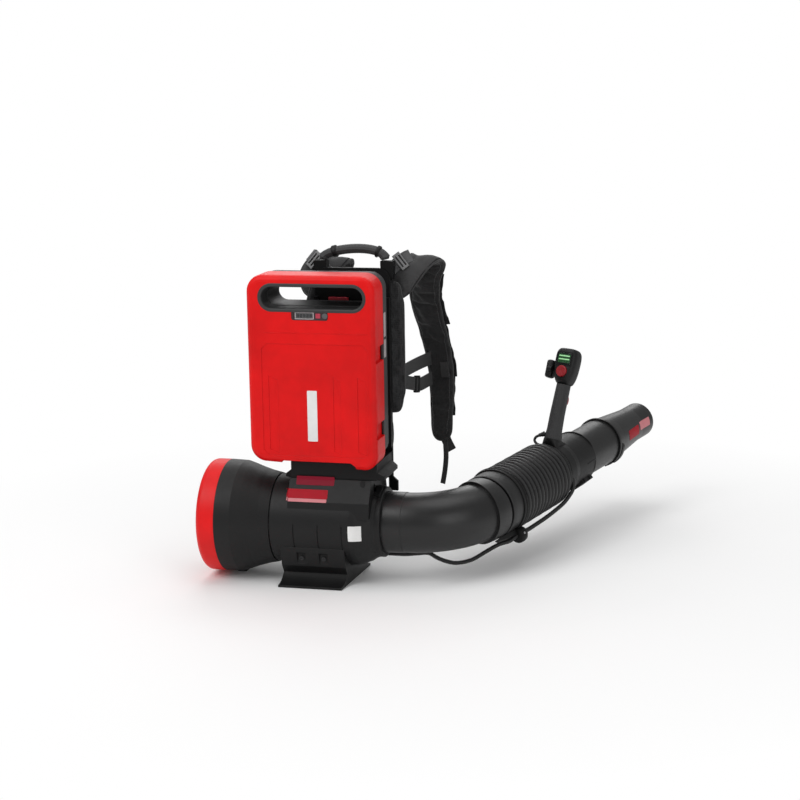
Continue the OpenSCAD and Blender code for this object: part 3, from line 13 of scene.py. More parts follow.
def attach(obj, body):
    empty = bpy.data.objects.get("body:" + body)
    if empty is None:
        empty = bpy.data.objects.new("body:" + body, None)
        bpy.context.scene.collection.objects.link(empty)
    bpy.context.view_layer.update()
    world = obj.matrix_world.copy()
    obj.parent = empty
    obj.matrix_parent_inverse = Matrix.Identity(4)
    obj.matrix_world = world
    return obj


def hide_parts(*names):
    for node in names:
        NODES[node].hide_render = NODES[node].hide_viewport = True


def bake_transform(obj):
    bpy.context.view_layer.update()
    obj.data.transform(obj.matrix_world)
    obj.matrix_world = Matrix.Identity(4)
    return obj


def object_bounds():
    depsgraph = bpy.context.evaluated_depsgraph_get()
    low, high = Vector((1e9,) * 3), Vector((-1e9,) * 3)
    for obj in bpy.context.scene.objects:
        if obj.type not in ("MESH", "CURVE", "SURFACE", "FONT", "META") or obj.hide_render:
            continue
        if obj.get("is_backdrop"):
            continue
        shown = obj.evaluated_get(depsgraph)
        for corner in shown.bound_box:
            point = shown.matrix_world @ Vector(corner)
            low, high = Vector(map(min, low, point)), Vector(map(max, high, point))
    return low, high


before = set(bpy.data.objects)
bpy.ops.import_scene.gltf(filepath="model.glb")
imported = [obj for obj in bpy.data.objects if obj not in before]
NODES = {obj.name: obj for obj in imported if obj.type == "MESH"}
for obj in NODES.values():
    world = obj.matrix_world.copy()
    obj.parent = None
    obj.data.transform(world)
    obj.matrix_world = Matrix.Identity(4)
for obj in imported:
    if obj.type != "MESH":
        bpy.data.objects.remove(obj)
scene = bpy.context.scene
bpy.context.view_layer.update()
MM = 0.001
TINY = 1e-9
WHITE = (1, 1, 1, 1)
X, Y, Z = Vector((1, 0, 0)), Vector((0, 1, 0)), Vector((0, 0, 1))


def P(x, y, z):
    """A point of the CAD source, from millimetres."""
    return Vector((x, y, z)) * MM


# --- frames of the tube and the handle, in mm

BEND, TURN, LEAN = radians(69.5), radians(6), radians(25)
OUTLET_X, ELBOW_LEAD, BEND_R, AXIS_Z = 118, 34, 135, 106
BEND_OUT = BEND_R * (1 - cos(BEND))
TUBE_T = Vector((cos(BEND), sin(BEND) * cos(TURN), sin(BEND) * sin(TURN)))
TUBE_L = Vector((-sin(BEND), cos(BEND) * cos(TURN), cos(BEND) * sin(TURN)))
TUBE_N = Vector((0, -sin(TURN), cos(TURN)))
TUBE_O = P(OUTLET_X + ELBOW_LEAD + BEND_R * sin(BEND), BEND_OUT * cos(TURN),
    AXIS_Z + BEND_OUT * sin(TURN))
DUCT_R, TUBE_R, NOZZLE_R, SLEEVE_R, LEAD_R, CABLE_R = 55, 46, 35.5, 50, 2.6, 4.0
HOSE_START, RIB_X0, RIB_PITCH, RIB_COUNT, HOSE_R, RIB_DEPTH = 6, 54, 12.2, 13, 62, 5
RIB_X1 = RIB_X0 + RIB_PITCH * RIB_COUNT
FRONT_CUFF, RING_GAP, RING_W, SLEEVE_GAP = 11, 1, 8.8, 0.6
HOSE_END = RIB_X1 + FRONT_CUFF
SLEEVE_X = HOSE_END + RING_GAP + RING_W + SLEEVE_GAP
SLEEVE_LEN, MID_LEN, GRIP_SETBACK = 99, 107, 12
SLEEVE_END = SLEEVE_X + SLEEVE_LEN
MID_END = SLEEVE_END + MID_LEN
GRIP_O = TUBE_O + (TUBE_T * (SLEEVE_X + GRIP_SETBACK) + TUBE_N * SLEEVE_R) * MM
GRIP_E = TUBE_T * cos(LEAN) - TUBE_N * sin(LEAN)
GRIP_D = TUBE_T * sin(LEAN) + TUBE_N * cos(LEAN)
GRIP_LEN, HEAD_H, HEAD_W, HEAD_D = 118, 70, 46, 40


def tube_out(degrees):
    """The direction out of the tube at an angle: 0 right, 90 up, 180 left."""
    angle = radians(degrees)
    return TUBE_N * sin(angle) - TUBE_L * cos(angle)


def tube_point(along, radius, degrees):
    """A point at a distance along the tube, a radius and an angle."""
    return TUBE_O + (TUBE_T * along + tube_out(degrees) * radius) * MM


def tube_xyz(x, y, z):
    """A point on the tube's axes: along it, to its left and up."""
    return TUBE_O + (TUBE_T * x + TUBE_L * y + TUBE_N * z) * MM


def grip_xyz(x, y, z):
    """A point on the grip's axes: forward, to its left and up along it."""
    return GRIP_O + (GRIP_E * x + TUBE_L * y + GRIP_D * z) * MM


def placed(name, data):
    obj = bpy.data.objects.new(name, data)
    scene.collection.objects.link(obj)
    return obj


# --- camera and light

AZIMUTH, ELEVATION, ROLL = radians(14), radians(11), radians(0.9)
LENS, SENSOR, IMAGE_PX, DISTANCE = 85, 36, 800, 3.36
FOCAL_PX = LENS / SENSOR * IMAGE_PX
ANCHOR, ANCHOR_PX = P(0, -90, 0), (312, 589)
level = Vector((cos(AZIMUTH), sin(AZIMUTH), 0))
back = Vector((sin(AZIMUTH) * cos(ELEVATION), -cos(AZIMUTH) * cos(ELEVATION),
    sin(ELEVATION)))
rise = back.cross(level)
right = cos(ROLL) * level - sin(ROLL) * rise
up = sin(ROLL) * level + cos(ROLL) * rise
eye = ANCHOR - ((ANCHOR_PX[0] - IMAGE_PX / 2) / FOCAL_PX * right
    + (IMAGE_PX / 2 - ANCHOR_PX[1]) / FOCAL_PX * up - back) * DISTANCE
camera = placed("camera", bpy.data.cameras.new("camera"))
camera.data.lens, camera.data.sensor_width = LENS, SENSOR
camera.matrix_world = Matrix.Translation(eye) @ Matrix((right, up, back)).transposed().to_4x4()
camera.data.clip_end = 50
scene.camera = camera
scene.view_settings.view_transform = "Standard"


def area_light(name, at, target, size, power):
    """A soft rectangular lamp turned to a target."""
    lamp = bpy.data.lights.new(name, "AREA")
    lamp.shape = "RECTANGLE"
    lamp.size, lamp.size_y = size
    lamp.energy = power
    obj = placed(name, lamp)
    obj.location = at
    obj.rotation_euler = (Vector(target) - Vector(at)).to_track_quat("-Z", "Y").to_euler()


area_light("key", (-1.5, -1.9, 2.6), (0.1, 0.1, 0.2), (1.8, 1.8), 46)
area_light("fill", (2.4, -2.2, 1.3), (0.1, 0.1, 0.2), (1.6, 2.0), 17)
area_light("top", (0.2, 0.3, 2.9), (0.15, 0.1, 0.1), (2.6, 2.0), 30)
area_light("rear", (-0.6, 2.9, 1.8), (0.1, 0.1, 0.2), (2.4, 1.6), 26)


# --- shader helpers


def fill(tree, node, inputs):
    """Sets inputs to values or links them to outputs."""
    for key, value in inputs.items():
        if isinstance(value, bpy.types.NodeSocket):
            tree.links.new(value, node.inputs[key])
        else:
            node.inputs[key].default_value = value


def add(tree, kind, inputs=None, **settings):
    node = tree.nodes.new("ShaderNode" + kind)
    for key, value in settings.items():
        setattr(node, key, value)
    fill(tree, node, inputs or {})
    return node


FINISH = {}


def begin(name):
    """A new finish's node tree, main shader and object coordinates."""
    FINISH[name] = bpy.data.materials.new(name)
    FINISH[name].use_nodes = True
    tree = FINISH[name].node_tree
    return tree, tree.nodes["Principled BSDF"], add(tree, "TexCoord").outputs["Object"]


def calc(tree, operation, a, b):
    return add(tree, "Math", {0: a, 1: b}, operation=operation).outputs[0]


def noise(tree, at, scale, detail, rough=0.5):
    inputs = {"Vector": at, "Scale": scale, "Detail": detail, "Roughness": rough}
    return add(tree, "TexNoise", inputs).outputs[0]


def cells_of(tree, at, size, chance):
    """Distance to the nearest cell's middle."""
    inputs = {"Vector": at, "Scale": 1 / size, "Randomness": chance}
    return add(tree, "TexVoronoi", inputs).outputs["Distance"]


def ramp(tree, value, low, high, a, b):
    """Maps a value from low..high to a..b, clamped."""
    ends = {"Value": value, "From Min": low, "From Max": high, "To Min": a, "To Max": b}
    return add(tree, "MapRange", ends).outputs[0]


def tint(tree, share, a, b):
    """A mix of two colours or outputs."""
    a, b = (c if isinstance(c, bpy.types.NodeSocket) else (*c[:3], 1) for c in (a, b))
    return add(tree, "Mix", {0: share, 6: a, 7: b}, data_type="RGBA").outputs[2]


def shade(color, share):
    return tuple(min(1, c * share) for c in color)


def bumped(tree, height, strength, distance=0.0005, **more):
    inputs = {"Height": height, "Strength": strength, "Distance": distance, **more}
    return add(tree, "Bump", inputs).outputs[0]


# --- finishes


def plastic(name, color, rough, grain=0.12, scale=1500, wear=0.35, edge=0.0008, coat=0.0, specular=0.5,
        metal=0.0):
    """Moulded plastic or metal: fine grain, slow unevenness, rounded edges with light wear."""
    tree, shader, at = begin(name)
    slow = noise(tree, at, 11, 4, 0.6)
    middle = noise(tree, at, 160, 3)
    rounded = add(tree, "Bevel", {"Radius": edge}, samples=4).outputs[0]
    flat = add(tree, "NewGeometry").outputs["Normal"]
    agree = add(tree, "VectorMath", {0: rounded, 1: flat}, operation="DOT_PRODUCT").outputs["Value"]
    corner = ramp(tree, agree, 0.995, 0.86, 0, 1)
    rubbed = calc(tree, "MULTIPLY", corner, ramp(tree, middle, 0.4, 0.7, 0.35, 1))
    base = tint(tree, ramp(tree, slow, 0.3, 0.7, 0, 1), shade(color, 0.86), shade(color, 1.14))
    worn = tuple(min(1, c * 1.5 + 0.05) for c in color)
    gloss = ramp(tree, slow, 0.3, 0.7, rough - 0.05, rough + 0.05)
    fill(tree, shader, {
        "Base Color": tint(tree, calc(tree, "MULTIPLY", rubbed, wear), base, worn),
        "Roughness": calc(tree, "ADD", gloss, ramp(tree, middle, 0.3, 0.7, -0.03, 0.03)),
        "Normal": bumped(tree, noise(tree, at, scale, 2), grain, 0.0004, Normal=rounded),
        "Metallic": metal, "Specular IOR Level": specular, "Coat Weight": coat, "Coat Roughness": 0.12})


def cloth(name, color, cell, bump, open_weave=False, fluff=0.12):
    """Woven or spacer-mesh fabric with lint, slow fading and painted shade in its holes."""
    tree, shader, at = begin(name)
    cells = cells_of(tree, at, cell, 0.3)
    lint = noise(tree, at, 2600, 2)
    slow = noise(tree, at, 24, 4)
    hole = ramp(tree, cells, 0.1, 0.55, 1, 0) if open_weave else ramp(tree, cells, 0.15, 0.6, 0, 1)
    mixed = tint(tree, ramp(tree, slow, 0.3, 0.7, 0, 1), shade(color, 0.8), shade(color, 1.2))
    # Holes and gaps of the weave are painted darker: painted shade in the fabric's low places.
    shaded_holes = tint(tree, hole, mixed, shade(color, 0.35 if open_weave else 0.6))
    height = calc(tree, "ADD", calc(tree, "MULTIPLY", hole, -1.0), ramp(tree, lint, 0, 1, 0, 0.4))
    fill(tree, shader, {
        "Base Color": tint(tree, ramp(tree, lint, 0.62, 0.8, 0, fluff), shaded_holes, shade(color, 2.2)),
        "Normal": bumped(tree, height, bump, 0.0006),
        "Roughness": 0.88, "Sheen Weight": 0.25, "Sheen Roughness": 0.4, "Specular IOR Level": 0.25})


WAVE_PITCH = 0.314  # metres between the bands of a wave texture at scale 1


def ribbed(name, color, pitch=0.0016, bump=0.6):
    """Webbing: fine ribs with a twill break, on UVs in metres."""
    tree, shader, at = begin(name)
    uv = add(tree, "TexCoord").outputs["UV"]

    def wave(direction, apart, distortion):
        inputs = {"Vector": uv, "Scale": WAVE_PITCH / apart, "Distortion": distortion, "Detail": 1}
        return add(tree, "TexWave", inputs, bands_direction=direction).outputs[1]

    weave = calc(tree, "MULTIPLY", wave("X", pitch, 0.6), ramp(tree, wave("Y", 0.0022, 0.3), 0, 1, 0.55, 1))
    lint = ramp(tree, noise(tree, at, 1800, 2), 0.62, 0.8, 0, 0.12)
    threads = tint(tree, weave, shade(color, 0.55), shade(color, 1.25))
    fill(tree, shader, {
        "Base Color": tint(tree, lint, threads, shade(color, 2.0)),
        "Normal": bumped(tree, weave, bump), "Roughness": 0.7, "Sheen Weight": 0.2})


def soft_rubber(name, color, rough, grain, knurl=0.0):
    """Rubber with dust in slow patches and, on a grip, raised dots that lie knurl apart."""
    tree, shader, at = begin(name)
    slow = noise(tree, at, 18, 5, 0.65)
    height = noise(tree, at, 700, 3)
    if knurl:
        dots = ramp(tree, cells_of(tree, at, knurl, 0.0), 0.15, 0.42, 1, 0)
        height = calc(tree, "ADD", dots, ramp(tree, height, 0, 1, 0, 0.25))
    fill(tree, shader, {
        "Base Color": tint(tree, ramp(tree, slow, 0.35, 0.7, 0, 1), shade(color, 0.8), shade(color, 1.35)),
        "Roughness": ramp(tree, slow, 0.3, 0.7, rough - 0.06, rough + 0.09),
        "Normal": bumped(tree, height, grain)})


def glowing(name, color, strength):
    """A lit display segment or lamp under clear plastic."""
    tree, shader, at = begin(name)
    cloud = noise(tree, at, 300, 2)
    fill(tree, shader, {
        "Base Color": tint(tree, cloud, shade(color, 0.8), color),
        "Roughness": ramp(tree, cloud, 0.3, 0.7, 0.2, 0.3),
        "Emission Color": (*color, 1), "Emission Strength": strength, "Coat Weight": 0.5})


SHELL = {"scale": 1600, "wear": 0.08, "edge": 0.0012}
METAL = {"scale": 2400, "edge": 0.0004}
PRINT = {"grain": 0.05, "wear": 0.0, "edge": 0.0002}
plastic("black", (0.006, 0.006, 0.0062), 0.5, 0.2, 1300, specular=0.3)
# A darker black: the own colour of the dock, frame, bezel, cuff ring and knob; on the hose's grooves and the
# lug hole it is painted shade.
plastic("deep", (0.0032, 0.0032, 0.0033), 0.55, 0.2, 1300, specular=0.22)
plastic("tube", (0.0068, 0.0068, 0.007), 0.38, 0.1, 900, wear=0.25, specular=0.46)
plastic("red", (0.68, 0.0025, 0.003), 0.42, 0.05, specular=0.2, **SHELL)
plastic("ring", (0.70, 0.005, 0.006), 0.45, 0.07, specular=0.25, **SHELL)
plastic("deep_red", (0.30, 0.008, 0.014), 0.42, 0.1, wear=0.2, specular=0.35)
plastic("grey", (0.042, 0.042, 0.043), 0.55, 0.25, 1200, specular=0.35)
plastic("mid_grey", (0.085, 0.085, 0.088), 0.5, 0.2)
# Darker than the liner's own grey: painted shade inside the battery slot.
plastic("liner", (0.022, 0.022, 0.0225), 0.5, 0.2, wear=0.9)
# A brighter red than the latch's deep red: painted highlight on the latch tab.
plastic("tab", (0.55, 0.03, 0.05), 0.4, 0.05, wear=0.2, specular=0.35)
plastic("pale", (0.42, 0.38, 0.385), 0.45, 0.05, wear=0.1)
plastic("panel", (0.042, 0.026, 0.028), 0.35, 0.04, wear=0.1, specular=0.3)
plastic("glass", (0.012, 0.013, 0.014), 0.12, 0.01, wear=0.0, coat=0.6)
plastic("dark_steel", (0.035, 0.035, 0.036), 0.4, 0.1, metal=0.7, **METAL)
plastic("steel", (0.42, 0.42, 0.43), 0.34, 0.1, metal=1.0, **METAL)
plastic("copper", (0.72, 0.35, 0.16), 0.4, 0.15, metal=1.0, edge=0.0004)
plastic("board", (0.02, 0.13, 0.06), 0.45, 0.1)
plastic("cells", (0.03, 0.18, 0.30), 0.35, 0.05)
plastic("buckle", (0.17, 0.17, 0.172), 0.42, 0.15)
plastic("label", (0.78, 0.78, 0.77), 0.45, scale=2200, **PRINT)
plastic("label_red", (0.36, 0.004, 0.014), 0.5, specular=0.15, **PRINT)
plastic("label_wine", (0.20, 0.004, 0.018), 0.5, specular=0.15, **PRINT)
plastic("label_pink", (0.62, 0.22, 0.24), 0.5, specular=0.2, **PRINT)
soft_rubber("hose", (0.0072, 0.0072, 0.0075), 0.46, 0.2)
soft_rubber("grip", (0.02, 0.02, 0.021), 0.6, 0.5, knurl=0.0034)
soft_rubber("handle", (0.03, 0.03, 0.031), 0.62, 0.3)
soft_rubber("cable", (0.006, 0.006, 0.0062), 0.45, 0.15)
cloth("mesh", (0.034, 0.034, 0.035), 0.0034, 0.9, open_weave=True)
cloth("strap", (0.021, 0.021, 0.0215), 0.0026, 0.6, open_weave=True, fluff=0.06)
cloth("yoke", (0.065, 0.065, 0.066), 0.0011, 0.3, fluff=0.08)
cloth("flap", (0.016, 0.016, 0.0165), 0.0012, 0.35, fluff=0.08)
ribbed("binding", (0.022, 0.022, 0.0225), 0.0012, 0.4)
ribbed("webbing", (0.018, 0.018, 0.0185))
ribbed("anchor", (0.085, 0.085, 0.087))
ribbed("thread", (0.075, 0.075, 0.077), 0.0008, 0.3)
glowing("green", (0.30, 0.62, 0.30), 0.5)
glowing("green_dim", (0.008, 0.055, 0.014), 0.3)
glowing("lamp_red", (0.42, 0.02, 0.05), 0.12)
NODE_FINISH = {
    "deep": "dock_block back_frame carry_roots",
    "black": "base_foot fan_housing intake_bell intake_guard motor_pod tail_cone impeller cell_trays "
        "hose_clamp hose_ring cable_bracket handle_sleeve control_head cruise_lever",
    "buckle": "strap_buckles",
    "tube": "elbow_duct inner_tube nozzle",
    "red": "battery_cover",
    "ring": "intake_ring",
    "deep_red": "battery_latch trigger power_button",
    "grey": "battery_shell",
    "mid_grey": "charge_button",
    "panel": "charge_panel",
    "glass": "head_display",
    "dark_steel": "housing_screws frame_screws battery_screws clamp_screw sleeve_screws",
    "steel": "motor_bearings motor_shaft motor_rotor trigger_spring",
    "copper": "motor_stator dock_contacts",
    "board": "controller_board battery_board head_board",
    "cells": "battery_cells",
    "grip": "grip_left grip_right",
    "handle": "carry_grip",
}
for finish, names in NODE_FINISH.items():
    for node in names.split():
        NODES[node].data.materials.clear()
        NODES[node].data.materials.append(FINISH[finish])


# --- meshes


def build(name, verts, faces, body, finish, sharp=40, uv=None, slots=None):
    """A mesh piece that rides on a body. uv is by face corner, slots by face."""
    mesh = bpy.data.meshes.new(name)
    mesh.from_pydata([tuple(v) for v in verts], [], faces)
    for one in finish if isinstance(finish, list) else [finish]:
        mesh.materials.append(FINISH[one])
    if slots is not None:
        mesh.polygons.foreach_set("material_index", slots)
    if uv is not None:
        layer = mesh.uv_layers.new(name="UVMap")
        layer.data.foreach_set("uv", np.array(uv, np.float32).ravel())
    work = bmesh.new()
    work.from_mesh(mesh)
    bmesh.ops.recalc_face_normals(work, faces=work.faces)
    work.to_mesh(mesh)
    work.free()
    mesh.shade_smooth()
    mesh.set_sharp_from_angle(angle=radians(sharp))
    obj = placed(name, mesh)
    if body:
        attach(obj, body)
    return obj


# Floor and world: pale, with the camera seeing plain white further out
world = bpy.data.worlds.new("world")
scene.world = world
world.use_nodes = True
rays = add(world.node_tree, "LightPath").outputs
seen = calc(world.node_tree, "MAXIMUM", rays["Is Camera Ray"], rays["Is Transmission Ray"])
fill(world.node_tree, world.node_tree.nodes["Background"],
    {"Strength": ramp(world.node_tree, seen, 0, 1, 0.42, 1.0), "Color": WHITE})
FLOOR_HALF, FLOOR_MIDDLE, CLEAR_FROM, CLEAR_TO = 9, (0.15, 0.2, 0), 0.5, 1.15
tree, shader, at = begin("floor")
fill(tree, shader, {"Base Color": (0.9, 0.9, 0.9, 1), "Roughness": 0.8, "Specular IOR Level": 0.1})
away = add(tree, "VectorMath", {0: at, 1: FLOOR_MIDDLE}, operation="DISTANCE").outputs["Value"]
plain = calc(tree, "MULTIPLY", ramp(tree, away, CLEAR_FROM, CLEAR_TO, 0, 1),
    add(tree, "LightPath").outputs["Is Camera Ray"])
white = add(tree, "Emission", {"Color": WHITE, "Strength": 1.0})
both = add(tree, "MixShader", {0: plain, 1: shader.outputs[0], 2: white.outputs[0]})
fill(tree, tree.nodes["Material Output"], {"Surface": both.outputs[0]})
floor = build("floor", [(x * FLOOR_HALF, y * FLOOR_HALF, 0) for x, y in ((-1, -1), (1, -1), (1, 1), (-1, 1))],
    [(0, 1, 2, 3)], None, "floor")
floor.location.z = -0.0004
floor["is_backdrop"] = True


# --- lines


def spline(points, steps):
    """Catmull-Rom points through the given ones."""
    p = [Vector(q) for q in points]
    last = len(p) - 1
    out = []
    for i in range(last):
        a, b, c, d = p[max(i - 1, 0)], p[i], p[i + 1], p[min(i + 2, last)]
        for k in range(steps):
            t = k / steps
            out.append(0.5 * (2 * b + (c - a) * t + (2 * a - 5 * b + 4 * c - d) * t * t
                + (3 * b - a - 3 * c + d) * t ** 3))
    return out + [p[last]]


def lengths(points):
    """How far along the line each point is."""
    far = [0.0]
    for a, b in zip(points, points[1:]):
        far.append(far[-1] + (b - a).length)
    return far


def even(points, step):
    """The same line with points at even distances."""
    p = [Vector(q) for q in points]
    far = lengths(p)
    count = max(2, round(far[-1] / step))
    out, i = [], 0
    for k in range(count + 1):
        here = far[-1] * k / count
        while i < len(p) - 2 and far[i + 1] < here:
            i += 1
        out.append(p[i].lerp(p[i + 1], (here - far[i]) / max(TINY, far[i + 1] - far[i])))
    return out


def tangents(points):
    last = len(points) - 1
    return [(points[min(i + 1, last)] - points[max(i - 1, 0)]).normalized() for i in range(last + 1)]


def squared(direction, along):
    return (direction - along * direction.dot(along)).normalized()


def point_tree(points):
    tree = KDTree(len(points))
    for i, p in enumerate(points):
        tree.insert(p, i)
    tree.balance()
    return tree


# --- forms, as (verts, faces, uv)


def skin(rings, close=True):
    """A skin over rings that have as many points each, with UVs in metres."""
    k = len(rings[0])
    verts = [v for ring in rings for v in ring]
    wide = rings[len(rings) // 2]
    v_at, u_at = lengths([sum(ring, Vector()) / k for ring in rings]), lengths(wide + wide[:1])
    faces, uv = [], []
    for i in range(len(rings) - 1):
        for j in range(k):
            a, b = i * k + j, i * k + (j + 1) % k
            faces.append((a, b, b + k, a + k))
            uv += [(u_at[n], v_at[m]) for n, m in ((j, i), (j + 1, i), (j + 1, i + 1), (j, i + 1))]
    if close:
        for i in (0, len(rings) - 1):
            faces.append(tuple(i * k + j for j in range(k)))
            uv += [(u_at[j], v_at[i]) for j in range(k)]
    return verts, faces, uv


def looped(rings):
    """A closed tube of rings whose last ring meets the first."""
    k, n = len(rings[0]), len(rings)
    faces = [(i * k + j, i * k + (j + 1) % k, (i + 1) % n * k + (j + 1) % k, (i + 1) % n * k + j)
        for i in range(n) for j in range(k)]
    return [v for ring in rings for v in ring], faces, [(0, 0)] * (4 * len(faces))


def circle(centre, side, top, radius, count):
    """Points of a circle from side towards top."""
    angles = [2 * pi * j / count for j in range(count)]
    return [centre + (side * cos(a) + top * sin(a)) * radius for a in angles]


def tube_rings(points, radius, count, first=None):
    """Rings round a line without twist. radius is one value or a list."""
    along = tangents(points)
    side = Vector(first) if first is not None else along[0].orthogonal()
    rings = []
    for i, p in enumerate(points):
        side = squared(side, along[i])
        here = radius[i] if isinstance(radius, list) else radius
        rings.append(circle(p, side, along[i].cross(side), here, count))
    return rings


def turned(at, axis, profile, count=28):
    """A turned solid, from (distance, radius) pairs in millimetres."""
    axis = axis.normalized()
    side = axis.orthogonal().normalized()
    return skin([circle(at + axis * along * MM, side, axis.cross(side), radius * MM, count)
        for along, radius in profile])


def join(parts):
    verts, faces, uv = [], [], []
    for part_verts, part_faces, part_uv in parts:
        first = len(verts)
        verts += part_verts
        faces += [tuple(i + first for i in face) for face in part_faces]
        uv += part_uv
    return verts, faces, uv


def box_piece(at, x, y, z, size, bevel):
    """A small bevelled block on its own axes."""
    work = bmesh.new()
    bmesh.ops.create_cube(work, size=1)
    for v in work.verts:
        v.co = Vector((v.co.x * size[0], v.co.y * size[1], v.co.z * size[2]))
    bmesh.ops.bevel(work, geom=work.edges[:], offset=bevel, segments=2, affect="EDGES", profile=0.5)
    work.verts.index_update()
    verts = [at + x * v.co.x + y * v.co.y + z * v.co.z for v in work.verts]
    faces = [tuple(v.index for v in face.verts) for face in work.faces]
    work.free()
    return verts, faces, [(0, 0)] * sum(len(face) for face in faces)


def slab_faces(columns, cells, under):
    """Faces of a plate on a grid: both sides and walls. Its back starts at under."""
    faces = []
    for i, j in sorted(cells):
        a = j * columns + i
        b, c, d = a + 1, a + columns + 1, a + columns
        faces += [(a, b, c, d), (under + d, under + c, under + b, under + a)]
        for beside, p, q in (((i, j - 1), a, b), ((i + 1, j), b, c), ((i, j + 1), c, d), ((i - 1, j), d, a)):
            if beside not in cells:
                faces.append((q, p, p + under, q + under))
    return faces


def piece(name, parts, body, finish, sharp=40):
    """A piece from one form or several."""
    verts, faces, uv = join(parts if isinstance(parts, list) else [parts])
    return build(name, verts, faces, body, finish, sharp, uv)


# --- laid on a skin


def surface(*names):
    """The skin of parts or pieces, to lay things on."""
    verts, faces = [], []
    for name in names:
        obj = NODES.get(name) or bpy.data.objects[name]
        first = len(verts)
        verts += [obj.matrix_world @ v.co for v in obj.data.vertices]
        faces += [tuple(i + first for i in face.vertices) for face in obj.data.polygons]
    return BVHTree.FromPolygons(verts, faces)


CAST, SUNK = 0.03, 0.0003  # how far a plate is cast and how deep its back lies


def laid(name, body, tree, at, u, v, w, h, thick, finish, corner=0.0015, step=0.0025, rim=None):
    """A thin w by h plate cast onto a skin from outside. With rim, only a frame that wide."""
    u, v = Vector(u).normalized(), Vector(v).normalized()
    out = u.cross(v)
    half_w, half_h = w / 2, h / 2
    across, upward = max(4, round(w / step)), max(4, round(h / step))
    xs = [-half_w + w * i / across for i in range(across + 1)]
    ys = [-half_h + h * j / upward for j in range(upward + 1)]
    if rim:
        xs = sorted(set(xs + [rim - half_w, half_w - rim]))
        ys = sorted(set(ys + [rim - half_h, half_h - rim]))
    c = min(corner, w / 2.01, h / 2.01)
    top, low, last = [], [], 0.0
    for y in ys:
        for x in xs:
            near_x, near_y = max(0, abs(x) - half_w + c) / c, max(0, abs(y) - half_h + c) / c
            spot = (x, y)
            if near_x > 0 and near_y > 0:
                spot = (copysign(half_w - c + near_x * sqrt(1 - near_y ** 2 / 2) * c, x),
                    copysign(half_h - c + near_y * sqrt(1 - near_x ** 2 / 2) * c, y))
            p = at + u * spot[0] + v * spot[1]
            hit = tree.ray_cast(p + out * CAST, -out, 2 * CAST)[0]
            last = (hit - p).dot(out) if hit is not None else last
            top.append(p + out * (last + thick))
            low.append(p + out * (last - SUNK))

    def in_rim(a, b, half):
        return a < rim - half - TINY or b > half - rim + TINY

    cells = {(i, j) for j in range(len(ys) - 1) for i in range(len(xs) - 1)
        if not rim or in_rim(xs[i], xs[i + 1], half_w) or in_rim(ys[j], ys[j + 1], half_h)}
    return build(name, top + low, slab_faces(len(xs), cells, len(top)), body, finish, sharp=30)


def dropped(points, tree, lift=0.0):
    """A line laid on a skin, and the skin's directions there."""
    hits = [tree.find_nearest(p)[:2] for p in points]
    return [hit + normal * lift for hit, normal in hits], [normal for _, normal in hits]


STITCH_PITCH, STITCH_LENGTH, STITCH_R = 0.0042, 0.0030, 0.00045
THREAD = ((-0.5, -0.0007, 0.6), (-0.36, 0.0002, 1), (0, 0.0002, 1), (0.36, 0.0002, 1), (0.5, -0.0007, 0.6))


def stitches(points, normals):
    """Stitches along a line on a skin."""
    tree = point_tree(points)
    spots = even(points, STITCH_PITCH)
    parts = []
    for a, b in zip(spots, spots[1:]):
        normal = normals[tree.find(a)[1]]
        along = (b - a).normalized() * STITCH_LENGTH
        line = [(a + b) / 2 + along * place + normal * height for place, height, _ in THREAD]
        parts.append(skin(tube_rings(line, [STITCH_R * share for _, _, share in THREAD], 6)))
    return join(parts)


# --- stuffed pieces

CLOTH = {"quality": 6, "mass": 0.25, "use_pressure": True, "uniform_pressure_force": 4.0,
    "tension_stiffness": 14, "compression_stiffness": 14, "shear_stiffness": 6, "bending_stiffness": 0.3,
    "air_damping": 2, "shrink_min": -0.06, "vertex_group_mass": "sewn"}
FRAMES = 20
PAD_POINTS = 44


def applied(obj):
    """The object's mesh with its modifiers applied."""
    return bpy.data.meshes.new_from_object(obj.evaluated_get(bpy.context.evaluated_depsgraph_get()))


def remade(obj, name):
    """The object made anew with its modifiers applied."""
    mesh = applied(obj)
    bpy.data.objects.remove(obj)
    return placed(name, mesh)


def blown_up(obj, sewn, voxel, most):
    """The form blown up as cloth, held where it is sewn, no point moved further than most."""
    rest = [v.co.copy() for v in obj.data.vertices]
    tree = point_tree(sewn)
    held = obj.vertex_groups.new(name="sewn")
    held.add([v.index for v in obj.data.vertices if tree.find(v.co)[2] < voxel * 0.75], 1, "REPLACE")
    fabric = obj.modifiers.new("cloth", "CLOTH")
    for key, value in CLOTH.items():
        setattr(fabric.settings, key, value)
    fabric.settings.effector_weights.gravity = 0
    fabric.point_cache.frame_start, fabric.point_cache.frame_end = 1, FRAMES
    for number in range(1, FRAMES + 1):
        scene.frame_set(number)
    obj = remade(obj, obj.name)
    for v, start in zip(obj.data.vertices, rest):
        moved = v.co - start
        if moved.length > most:
            v.co = start + moved * (most / moved.length)
    scene.frame_set(1)
    return obj


def puffed(name, rings, sewn, voxel, most):
    """A stuffed form as an evenly meshed object."""
    verts, faces, _ = skin(rings)
    mesh = bpy.data.meshes.new(name)
    mesh.from_pydata([tuple(v) for v in verts], [], faces)
    obj = placed(name + "_form", mesh)
    evener = obj.modifiers.new("even", "REMESH")
    evener.mode, evener.voxel_size = "VOXEL", voxel
    obj = remade(obj, name + "_form")
    obj = blown_up(obj, sewn, voxel, most)
    smoother = obj.modifiers.new("smooth", "SUBSURF")
    smoother.levels = smoother.render_levels = 1
    obj = remade(obj, name)
    obj.data.name = name
    obj.data.shade_smooth()
    return obj


